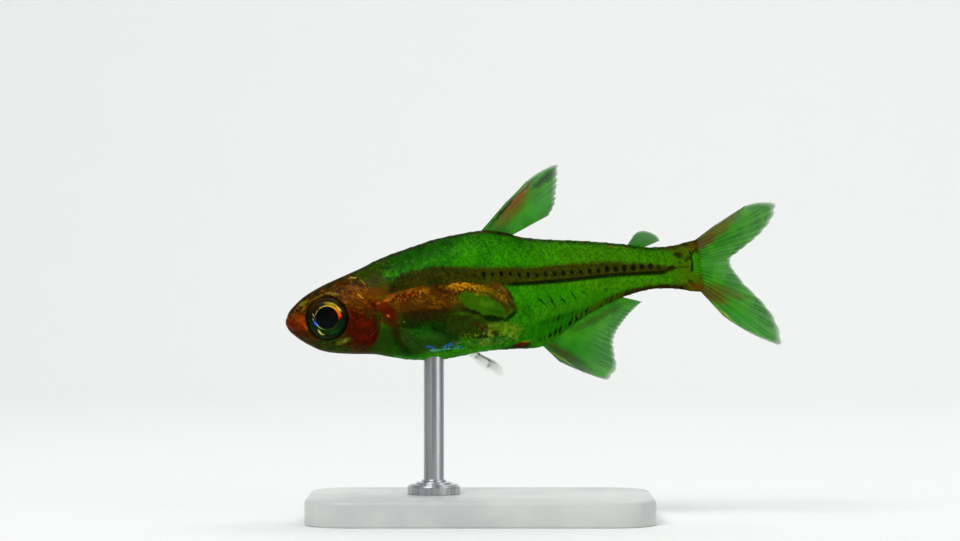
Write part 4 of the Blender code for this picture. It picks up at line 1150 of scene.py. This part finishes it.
def joined_copies(name, corners, faces, maps):
    """One mesh from many copies of a pattern. The maps are unwrappings, one place for every corner."""
    count, size = corners.shape[:2]
    all_faces = [tuple(k * size + i for i in face) for k in range(count) for face in faces]
    mesh = bpy.data.meshes.new(name)
    mesh.from_pydata(corners.reshape(-1, 3).tolist(), [], all_faces)
    loops = np.empty(len(mesh.loops), int)
    mesh.loops.foreach_get("vertex_index", loops)
    for map_name, values in maps.items():
        layer = mesh.uv_layers.new(name=map_name)
        layer.data.foreach_set("uv", values.reshape(-1, 2)[loops].ravel())
    piece = bpy.data.objects.new(name, mesh)
    bpy.context.collection.objects.link(piece)
    return piece


tile_x, tile_y, tile_z = SCALE_CORNERS.T
tile_face = np.stack((tile_x, tile_y), -1)
tile_lift = SCALE_LIFT - (SCALE_LIFT + SCALE_SINK) * (1 - tile_y) / 2 + tile_z * SCALE_THICK
tile_lift -= (np.hypot(tile_x, tile_y) > 0.95) * SCALE_RIM
laid, faces_map, root_map = [], [], []
u0, column = FIRST_SCALE, 0
while u0 < LAST_SCALE:
    step = float(smooth(SCALE_STEP, u0))
    shares, turns = evenly_round(u0)
    for row in range(ROWS_ROUND):
        middle = (row + 0.5 * (column % 2)) / ROWS_ROUND
        centre = on_body(u0, np.interp(middle, shares, turns))
        edge = COVER_EDGE - COVER_BEND * max(float(centre[2]) - COVER_BEND_W, 0.0)
        if u0 - step * COVER_LAP < edge:
            continue
        reach = middle + tile_x * (SCALE_WIDE / ROWS_ROUND) * (1 - SCALE_TAPER * tile_y)
        turn = np.interp(reach % 1.0, shares, turns)
        u = u0 + tile_y * step * SCALE_LONG
        laid.append(on_body(u, turn) + way_out(u, turn) * tile_lift[:, None])
        faces_map.append(tile_face * FACE_HALF + FACE_MIDDLE)
        root = middle * ROUND_SHARE + ROUND_MARGIN, (u0 - step * PATCH_BEHIND) / LENGTH_MAPPED
        root_map.append(np.array(root) + tile_face * PATCH_HALF)
    u0 += step
    column += 1
scales = joined_copies(
    "scales", np.array(laid), SCALE_FACES, {"OFBake": np.array(root_map), "scale_face": np.array(faces_map)}
)
into_room(scales, "scales", 40)
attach(scales, "root")
print(len(laid), "scales in", column, "columns")


# %% Paint the scales
RIM_SHADOW = (0.008, 0.02, 0.002, 1)


def scale_relief(place, colour, fine):
    """Rings and a few rays on each scale, a painted shadow line behind its free edge and a faint painted
    highlight on that edge.
    """
    x, y = unwrapped(place, "scale_face")
    x, y = (x - FACE_MIDDLE) / FACE_HALF, (y - FACE_MIDDLE) / FACE_HALF
    radius = distance(x, y)
    rear = rise(y, -0.1, 0.6)
    dark = rise(radius, 0.62, 0.8) * rise(radius, 0.97, 0.88) * rear
    # A painted shadow line by each scale's free edge, then a faint painted highlight on that edge.
    colour = mix(colour, RIM_SHADOW, dark * rise(fine, 0.25, 0.6) * 0.2)
    colour = mix(colour, screen(120, 170, 40), rise(radius, 0.9, 0.99) * rear * 0.06)
    rings = zigzag(radius, 0.045) * 12.0
    ray = rise(abs(x - y * 0.25), 0.05, 0.0) + rise(abs(x + y * 0.45), 0.05, 0.0)
    return colour, rings * 0.5 + fine * 0.5 - ray * rear * 0.4


scale_finish = finish_skin("scale_finish", scale_relief)
dress(scales, scale_finish)
print("scale graph has", len(scale_finish.node_tree.nodes), "nodes")

# %% [markdown]
# ## Fins
# A fin is a clear skin stretched over thin bony rays. The rays leave the body as single threads, fork
# once near the middle and again near the edge, and are jointed all along, which is why a fin bends so
# softly. Each fin is built from the same two things: a sheet, from a fine grid moved onto the fan of rays
# and given a thickness, and a thread, modelled once by extruding a small ring, that is laid along every
# ray and every fork. The small fat fin behind the dorsal has no rays, so it is a thicker sheet alone.
# Across the unwrapping of a fin each ray takes a twentieth, and from root to edge it counts to 4 on the
# sheet, and the threads' length in millimetres.

# %% Measures of the fins
GAP = 0.28
DORSAL = {
    "rays": 11, "base": (10.4, 11.87),
    "length": ((0.0, 1.55), (0.1, 2.8), (0.2, 4.35), (0.3, 4.0), (0.6, 3.0), (0.8, 2.45), (1.0, 1.7)),
    "slope": ((0.0, 42), (0.1, 42.5), (0.2, 36), (0.3, 33.5), (0.6, 27), (1.0, 20)),
}
ANAL = {
    "rays": 20, "base": (12.5, 16.95),
    "length": (
        (0.0, 0.9), (0.05, 2.0), (0.1, 3.15), (0.16, 3.1),
        (0.25, 2.55), (0.4, 1.75), (0.6, 1.25), (1.0, 0.5),
    ),
    "slope": ((0.0, -52), (0.1, -42), (0.2, -34), (0.4, -30), (1.0, -20)),
}
ADIPOSE = {
    "rays": 6, "base": (17.1, 17.9),
    "length": ((0.0, 0.28), (0.2, 0.57), (0.4, 0.8), (0.6, 0.91), (0.8, 0.95), (1.0, 0.85)),
    "slope": ((0.0, 50), (0.2, 65), (0.4, 60), (0.6, 47), (0.8, 31), (1.0, 15)),
}
UPPER_LOBE = {
    "rays": 10, "base": (1.17, 0.12),
    "length": ((0.0, 1.35), (0.11, 3.1), (0.22, 4.5), (0.33, 4.25), (0.56, 3.35), (0.78, 2.4), (1.0, 1.65)),
    "slope": ((0.0, 30), (0.11, 29), (0.22, 20), (0.5, 11), (1.0, 1)),
}
LOWER_LOBE = {
    "rays": 9, "base": (-0.12, -1.3),
    "length": ((0.0, 1.65), (0.15, 2.2), (0.38, 3.4), (0.63, 4.6), (0.75, 4.95), (0.88, 3.4), (1.0, 1.65)),
    "slope": ((0.0, -8), (0.2, -24), (0.5, -34), (0.75, -44), (0.88, -49.5), (1.0, -56)),
}
PECTORAL = {
    "rays": 10, "base": ((5.35, -1.0), (5.5, -1.62)), "out": 27,
    "length": ((0.0, 2.9), (0.15, 3.3), (0.5, 2.7), (1.0, 1.3)),
    "slope": ((0.0, -12), (1.0, -42)),
}
PELVIC = {
    "rays": 8, "base": ((8.35, -2.42), (8.85, -2.5)), "out": 18,
    "length": ((0.0, 1.5), (0.15, 2.1), (0.5, 1.8), (1.0, 1.0)),
    "slope": ((0.0, -38), (1.0, -16)),
}
ROOTED, STALK = 0.4, 0.55
RAY_STEPS, BETWEEN, WEB_STEPS = 24, 6, 6
MAP_WIDE, MAP_LONG = 20.0, 4.0


def heading(slope, out=0.0, side=1):
    """The way a ray points, from its slope in degrees and how far it stands out to its side."""
    turned, back = math.radians(slope), math.cos(math.radians(out))
    sideways = side * math.sin(math.radians(out))
    return np.array((math.cos(turned) * back, sideways, math.sin(turned) * back))


def fan(fin, root_at):
    """Rays of a fin in the middle plane, each a row of points from inside the body to its tip."""
    rays = []
    for share in np.linspace(0, 1, (fin["rays"] - 1) * BETWEEN + 1):
        start, end = fin["base"]
        way = heading(float(smooth(fin["slope"], share)))
        length = float(smooth(fin["length"], share))
        root = np.array(root_at(start + (end - start) * share))
        reach = np.linspace(-ROOTED - GAP, length, RAY_STEPS + 1)
        rays.append(root + way * reach[:, None])
    return np.array(rays)


def side_fan(fin, side):
    """Rays of a paired fin, which leave the flank slanting out and then sweep back."""
    rays = []
    for share in np.linspace(0, 1, (fin["rays"] - 1) * BETWEEN + 1):
        (u0, w0), (u1, w1) = fin["base"]
        u, w = u0 + (u1 - u0) * share, w0 + (w1 - w0) * share
        out = np.array(outward(u, w, side))
        way = heading(float(smooth(fin["slope"], share)), fin["out"], side)
        length = float(smooth(fin["length"], share))
        surface = np.array((u, side * float(flank(u, w)), w))
        root, tip = surface - out * 0.15 - way * 0.1, surface + out * (STALK + GAP) + way * length
        bend, t = surface + out * STALK + way * length * 0.2, np.linspace(0, 1, RAY_STEPS + 1)[:, None]
        rays.append(root * (1 - t) ** 2 + bend * 2 * t * (1 - t) + tip * t * t)
    return np.array(rays)


def side_by_side(one, two):
    """Two fans as one, with the web between them filled in."""
    shares = np.linspace(0, 1, BETWEEN + 1)[1:-1, None, None]
    return np.concatenate((one, one[-1] * (1 - shares) + two[0] * shares, two))


def on_fan(rays, across, along):
    """Points of the fan: across counts the rays, and along runs from 0 at the root to 1 at the tip."""
    across = across * BETWEEN
    i = np.clip(np.floor(across).astype(int), 0, rays.shape[0] - 2)
    j = np.clip(np.floor(along * (rays.shape[1] - 1)).astype(int), 0, rays.shape[1] - 2)
    f, g = (across - i)[..., None], (along * (rays.shape[1] - 1) - j)[..., None]
    near = rays[i, j] * (1 - g) + rays[i, j + 1] * g
    far = rays[i + 1, j] * (1 - g) + rays[i + 1, j + 1] * g
    return near * (1 - f) + far * f


print("dorsal fin has", DORSAL["rays"], "rays and the anal fin", ANAL["rays"])

# %% Make one thread
THREAD_SIDES, THREAD_STEPS, THREAD_FLAT = 6, 12, 1.15
fresh()
bpy.ops.mesh.primitive_circle_add(vertices=THREAD_SIDES, radius=1.0, fill_type="NGON", location=(0, 0, 0))
one_thread = bpy.context.object
bpy.ops.object.mode_set(mode="EDIT")
bpy.ops.mesh.select_all(action="SELECT")
for _ in range(THREAD_STEPS):
    bpy.ops.mesh.extrude_region_move(TRANSFORM_OT_translate={"value": (0, 0, 1 / THREAD_STEPS)})
bpy.ops.mesh.select_all(action="SELECT")
bpy.ops.mesh.normals_make_consistent(inside=False)
bpy.ops.object.mode_set(mode="OBJECT")
THREAD_CORNERS, THREAD_FACES = corners_and_faces(one_thread)
print("one thread has", len(THREAD_FACES), "faces")


# %% Sheet and threads of a fin
FORK_WIDE, TWIG_WIDE = 0.17, 0.085


def ripple(points, across, along, amount, waves):
    """Lets a fin hang a little out of its plane, more towards its tips."""
    sway = along**2 * np.sin(across * waves + 0.7) + 0.35 * along * np.sin(along * 5 + across)
    return points + amount * sway[..., None] * np.array((0.0, 1.0, 0.0))


def laid_thread(rays, across, along, thick, sway):
    """One copy of the thread along a path across the fan. Thick is its radius at its start and end."""
    z = THREAD_CORNERS[:, 2]
    t = along[0] + (along[1] - along[0]) * z
    middle, next_on = (ripple(on_fan(rays, across(s), s), across(s), s, *sway) for s in (t, t + 0.01))
    ahead = next_on - middle
    ahead /= np.linalg.norm(ahead, axis=1, keepdims=True)
    sideways = np.cross(ahead, (0.0, 1.0, 0.0))
    sideways /= np.linalg.norm(sideways, axis=1, keepdims=True)
    upward = np.cross(sideways, ahead)
    radius = (thick[0] + (thick[1] - thick[0]) * z)[:, None]
    offset = sideways * THREAD_CORNERS[:, :1] * THREAD_FLAT + upward * THREAD_CORNERS[:, 1:2]
    length = np.linalg.norm(middle - middle[np.argmin(z)], axis=1)
    return middle + offset * radius, np.stack((across(t) / MAP_WIDE, length), -1)


def soft(t, start, end):
    """0 up to the start and 1 from the end on, with a soft curve between them."""
    x = np.clip((t - start) / (end - start), 0, 1)
    return x * x * (3 - 2 * x)


def path_of(ray, last, first=0, second=0):
    """The way of a ray across the fan. First and second say to which side it turns at each fork, -1 or 1."""

    def across(t):
        turned = first * FORK_WIDE * soft(t, 0.42, 0.72) + second * TWIG_WIDE * soft(t, 0.7, 0.95)
        return np.clip(ray + turned, 0, last)

    return across


def forked_rays(rays, whole, stout, sway):
    """Every ray of the fan as threads: one to its first fork, two to the next, then four to the edge."""
    last = (rays.shape[0] - 1) // BETWEEN
    made = []
    for ray in range(last + 1):
        if ray < whole:
            paths = [((0, 0), (0.0, 1.0), (1.15, 0.5))]
        else:
            paths = [((0, 0), (0.0, 0.5), (1.0, 0.72))]
            for first in (-1, 1):
                paths.append(((first, 0), (0.44, 0.76), (0.6, 0.48)))
                paths += [((first, second), (0.72, 1.0), (0.42, 0.24)) for second in (-1, 1)]
        for forks, along, thick in paths:
            radii = [stout * share for share in thick]
            made.append(laid_thread(rays, path_of(ray, last, *forks), along, radii, sway))
    return made


def fin_sheet(rays, dip, thick, sway, seed):
    """The clear skin between the rays, its edge drawn in a little between each two."""
    spans = (rays.shape[0] - 1) // BETWEEN
    fresh()
    bpy.ops.mesh.primitive_grid_add(x_subdivisions=spans * WEB_STEPS, y_subdivisions=RAY_STEPS, size=2)
    sheet = bpy.context.object
    x, y, _ = corners_of(sheet).T
    across, along = (x + 1) / 2 * spans, (y + 1) / 2
    draw = np.random.default_rng(seed).uniform(0.4, 1.3, spans + 1)
    web = np.sin(math.pi * (across % 1.0)) ** 2 * draw[np.floor(across).astype(int)]
    along = along * (0.985 - dip * web)
    reshape(sheet, ripple(on_fan(rays, across, along), across, along, *sway))
    layer = sheet.data.uv_layers[0]
    layer.name = "fin_map"
    loops = np.empty(len(sheet.data.loops), int)
    sheet.data.loops.foreach_get("vertex_index", loops)
    layer.data.foreach_set("uv", np.stack((across / MAP_WIDE, along * MAP_LONG), -1)[loops].ravel())
    wall = sheet.modifiers.new("thickness", "SOLIDIFY")
    wall.thickness, wall.offset = thick, 0.0
    bpy.ops.object.modifier_apply(modifier=wall.name)
    return sheet


def finish_fin(
    name, rays, nodes, whole=2, stout=0.036, dip=0.01, thick=0.05, sway=(0.12, 0.5), seed=1,
    threads=True, clear=False,
):
    """A whole fin as one piece: its sheet and, where it has them, its rays, each with a finish."""
    sheet = fin_sheet(rays, dip, thick, sway, seed)
    dress(sheet, clear_web if clear else web_finish)
    if threads:
        laid = forked_rays(rays, whole, stout, sway)
        maps = {"fin_map": np.array([one[1] for one in laid])}
        bones = joined_copies(name + "_rays", np.array([one[0] for one in laid]), THREAD_FACES, maps)
        dress(bones, clear_ray if clear else ray_finish)
        fresh()
        bones.select_set(True)
        sheet.select_set(True)
        bpy.context.view_layer.objects.active = sheet
        bpy.ops.object.join()
    into_room(sheet, name, 50)
    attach(sheet, "root")
    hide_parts(*nodes)


# %% [markdown]
# ## Finish of the fins
# The skin of a fin is thin and green, browner at the roots of the tail lobes and along the front of the
# dorsal fin, which has a dark tip. The bony rays are darker. Both read the same strokes at the same
# places. The paired fins are nearly clear. Skin and rays get their thinness from Alpha.

# %% Paint the fins
FIN_STROKES = (
    ((10.9, 3.3), (12.6, 4.7), 1.0, 0.8, (110, 92, 1), 0.9),
    ((11.1, 3.65), (12.9, 5.2), 0.36, 0.9, (146, 56, 3), 0.88),
    ((10.4, 3.15), (12.0, 4.6), 0.2, 0.7, (10, 12, 1), 0.96),
    ((11.7, 4.3), (13.4, 5.55), 0.1, 0.8, (40, 40, 2), 0.85),
    ((12.8, 4.8), (14.2, 5.65), 0.46, 0.9, (4, 56, 2), 0.97),
    ((12.4, 3.4), (13.9, 4.5), 0.8, 0.9, (28, 160, 2), 0.7),
    ((17.0, 1.4), (18.7, 1.8), 1.2, 0.6, (30, 124, 1), 0.95),
    ((20.2, 0.0), (21.6, 0.0), 0.8, 0.9, (50, 150, 2), 0.7),
    ((20.2, 0.9), (22.6, 2.2), 1.0, 0.9, (104, 86, 2), 0.88),
    ((20.2, 0.85), (21.4, 1.3), 0.7, 0.8, (92, 54, 2), 0.92),
    ((20.6, 1.5), (23.9, 3.0), 0.4, 0.9, (86, 96, 3), 0.75),
    ((20.1, -1.05), (21.5, -1.95), 0.9, 0.8, (96, 60, 2), 0.92),
    ((20.5, -0.9), (22.6, -2.0), 0.6, 0.9, (88, 92, 3), 0.8),
    ((21.5, -2.2), (23.6, -4.1), 0.9, 0.9, (30, 156, 2), 0.7),
    ((20.3, -1.5), (22.0, -3.25), 0.14, 0.8, (150, 190, 20), 0.85),
    ((22.0, -3.25), (23.9, -4.5), 0.12, 0.8, (100, 184, 24), 0.75),
    ((12.4, -2.8), (14.4, -4.6), 1.2, 0.9, (26, 84, 1), 0.92),
    ((12.5, -2.8), (14.0, -4.0), 0.4, 0.9, (58, 48, 2), 0.88),
    ((12.3, -2.95), (13.9, -4.3), 0.1, 0.8, (150, 170, 30), 0.6),
    ((13.6, -2.5), (16.8, -1.3), 0.5, 0.9, (50, 76, 2), 0.75),
    ((14.0, -3.4), (16.2, -3.9), 1.3, 0.9, (16, 132, 2), 0.75),
)


def fin_colour(place):
    """Colour of the fins at a place on them."""
    u, w = measures(place)
    spot = ragged(place, u, w, 0.25, 3.0)
    coat = Coat(mix(screen(36, 134, 1), screen(62, 162, 3), rise(grain(place, 1.4, 3.0), 0.35, 0.65)))
    coat.strokes(spot, FIN_STROKES)
    return coat.tone


def paint_web(name, alpha_root, alpha_tip, tint, strength):
    """The clear skin of a fin, thinner towards its edge, with faint threads that follow the rays."""
    made, shader, here = new_finish(
        name, Roughness=0.35, Specular_IOR_Level=0.12, Coat_Weight=0.03, Coat_Roughness=0.1
    )
    place = fish_place(here)
    across, along = unwrapped(place, "fin_map")
    threads = zigzag(across, 0.0042) * 240.0
    colour = mix(fin_colour(place), tint, strength)
    mix(colour, screen(16, 56, 1), rise(threads, 0.5, 1.0) * 0.55).feed(shader, "Base Color")
    thin = rise(along, MAP_LONG, 0.8) * (alpha_root - alpha_tip) + alpha_tip
    (thin * (rise(along, 3.98, 3.6) * 0.65 + 0.35)).feed(shader, "Alpha")
    relief_of(threads * 0.6 + grain(place, 6.0) * 0.5, shader, 0.006)
    return made


def paint_rays(name, alpha, tint, strength):
    """The bony rays of a fin, crossed by a joint every 0.12 mm."""
    made, shader, here = new_finish(
        name, Roughness=0.35, Specular_IOR_Level=0.12, Coat_Weight=0.04, Coat_Roughness=0.12, Alpha=alpha
    )
    place = fish_place(here)
    _, length = unwrapped(place, "fin_map")
    joint = rise(zigzag(length, 0.06), 0.02, 0.0)
    colour = mix(fin_colour(place), tint, strength)
    mix(colour, screen(24, 34, 6), joint * 0.45).feed(shader, "Base Color")
    relief_of(1 - joint, shader, 0.01)
    return made


web_finish = paint_web("web_finish", 0.95, 0.72, screen(50, 140, 1), 0.1)
ray_finish = paint_rays("ray_finish", 0.95, screen(12, 46, 1), 0.75)
clear_web = paint_web("clear_web", 0.05, 0.03, screen(70, 120, 20), 0.8)
clear_ray = paint_rays("clear_ray", 0.09, screen(90, 130, 36), 0.8)
print("fin finishes:", web_finish.name, ray_finish.name, clear_web.name, clear_ray.name)

# %% Build the fins
def along_line(points, gap=0.0):
    """Where the rays of a fin start, a gap above a line of the body."""
    return lambda u: (u, 0.0, float(rounded_nose(points, u)) + gap)


def behind_tail(w):
    """Where the rays of the tail fin start."""
    return TAIL_END + GAP, 0.0, w


finish_fin("dorsal", fan(DORSAL, along_line(BACK, GAP)), ("dorsal_fin",), sway=(0.16, 0.45), seed=3)
finish_fin("anal", fan(ANAL, along_line(BELLY, -GAP)), ("anal_fin",), stout=0.03, sway=(0.12, 0.3), seed=5)
finish_fin(
    "adipose", fan(ADIPOSE, along_line(BACK)), ("adipose_fin",),
    dip=0.0, thick=0.1, sway=(0.04, 0.8), threads=False,
)
tail_rays = side_by_side(fan(UPPER_LOBE, behind_tail), fan(LOWER_LOBE, behind_tail))
finish_fin(
    "caudal", tail_rays, ("caudal_fin_upper", "caudal_fin_lower"), stout=0.04, sway=(0.18, 0.33), seed=7
)
for side_name, side in (("left", -1), ("right", 1)):
    finish_fin(
        "pectoral_" + side_name, side_fan(PECTORAL, side), ("pectoral_fin_" + side_name,),
        whole=1, stout=0.026, dip=0.02, thick=0.03, sway=(0.05 * side, 0.6), seed=11, clear=True,
    )
    finish_fin(
        "pelvic_" + side_name, side_fan(PELVIC, side), ("pelvic_fin_" + side_name,),
        whole=1, stout=0.022, dip=0.02, thick=0.03, sway=(0.04 * side, 0.6), seed=13, clear=True,
    )

# %% [markdown]
# ## Stand
# A plain stand carries the model: a flat plate with round corners and one rod that runs up into the
# belly. The plate is a block whose upright edges and then its top edge are bevelled. The rod is a short
# cylinder whose top face is inset and extruded, first into a low foot and then up to just inside the
# skin.

# %% Model the stand
BASE_LENGTH, BASE_WIDTH, BASE_THICK = 17.0, 10.0, 1.3
BASE_CORNER, BASE_EDGE, BASE_LOW_EDGE = 2.2, 0.25, 0.08
FOOT_RADIUS, FOOT_THICK, ROD_U, ROD_IN_SKIN, ROD_EDGE = 1.3, 0.3, 6.9, 0.5, 0.03
FOOT_STEPS = ((0.12, 0.1), (0.3, 0.08), (0.28, 0.1), (0.1, 0.12))
SHARP_FROM = math.radians(35)
fresh()
bpy.ops.mesh.primitive_cube_add(size=1.0, location=(0, 0, BASE_THICK / 2 * MM))
base = bpy.context.object
base.scale = (BASE_LENGTH * MM, BASE_WIDTH * MM, BASE_THICK * MM)
bpy.ops.object.transform_apply(location=True, scale=True)
bpy.ops.object.mode_set(mode="EDIT")
pick(base, "EDGE", lambda middle, edge: abs(edge.verts[0].co.z - edge.verts[1].co.z) > 0.5 * MM)
bpy.ops.mesh.bevel(offset=BASE_CORNER * MM, segments=20)
pick(base, "EDGE", lambda middle, edge: min(v.co.z for v in edge.verts) > (BASE_THICK - 0.01) * MM)
bpy.ops.mesh.bevel(offset=BASE_EDGE * MM, segments=6)
pick(base, "EDGE", lambda middle, edge: max(v.co.z for v in edge.verts) < 0.01 * MM)
bpy.ops.mesh.bevel(offset=BASE_LOW_EDGE * MM, segments=3)
bpy.ops.object.mode_set(mode="OBJECT")
base.name = base.data.name = "stand_plate"
bpy.ops.object.shade_smooth_by_angle(angle=SHARP_FROM)
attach(base, "root")
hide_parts("stand_base")

belly_point = TO_ROOM @ Vector((ROD_U, 0, float(rounded_nose(BELLY, ROD_U))))
foot = BASE_THICK * MM
fresh()
bpy.ops.mesh.primitive_cylinder_add(
    vertices=64, radius=FOOT_RADIUS * MM, depth=FOOT_THICK * MM,
    location=(belly_point.x, 0, foot + FOOT_THICK / 2 * MM),
)
rod = bpy.context.object
bpy.ops.object.transform_apply(location=True)
bpy.ops.object.mode_set(mode="EDIT")
pick(rod, "FACE", lambda middle, face: face.normal.z > 0.9)
for narrower, higher in FOOT_STEPS:
    bpy.ops.mesh.extrude_region_move(TRANSFORM_OT_translate={"value": (0, 0, higher * MM)})
    bpy.ops.mesh.inset(thickness=narrower * MM)
top = belly_point.z + ROD_IN_SKIN * MM
now = max(v.co.z for v in bmesh.from_edit_mesh(rod.data).verts)
bpy.ops.mesh.extrude_region_move(TRANSFORM_OT_translate={"value": (0, 0, top - now)})
bpy.ops.object.mode_set(mode="OBJECT")
soften = rod.modifiers.new("soft_edges", "BEVEL")
soften.width, soften.segments = ROD_EDGE * MM, 3
bpy.ops.object.modifier_apply(modifier=soften.name)
rod.name = rod.data.name = "stand_post"
bpy.ops.object.shade_smooth_by_angle(angle=SHARP_FROM)
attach(rod, "root")
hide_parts("stand_rod")
print("the post is", round((top - foot) / MM, 2), "mm tall")

# %% Finish the stand and the card
plate_finish, shader, here = new_finish("plate_finish", IOR=1.45, Coat_Weight=0.25, Coat_Roughness=0.25)
cloud, speck = grain(here, 260.0, 4.0), grain(here, 4200.0)
mix(screen(196, 198, 196), screen(212, 213, 210), rise(cloud, 0.35, 0.65)).feed(shader, "Base Color")
(speck * 0.2 + 0.32).feed(shader, "Roughness")
relief_of(speck, shader, 0.006)
dress(base, plate_finish)

post_finish, shader, here = new_finish("post_finish", Metallic=1.0, IOR=1.45)
drawn = here.node("ShaderNodeMapping", {}, {"Vector": here, "Scale": (9000.0, 9000.0, 120.0)})
lines = grain(drawn, 1.0, 3.0)
mix(screen(176, 178, 180), screen(204, 205, 206), rise(lines, 0.3, 0.7)).feed(shader, "Base Color")
(lines * 0.18 + 0.22).feed(shader, "Roughness")
relief_of(lines, shader, 0.003)
dress(rod, post_finish)

card_finish, shader, here = new_finish("card_finish", Base_Color=screen(242, 243, 241), Roughness=0.85)
relief_of(grain(here, 900.0, 4.0), shader, 0.02)
dress(floor, card_finish)
print("finishes:", plate_finish.name, post_finish.name, card_finish.name)
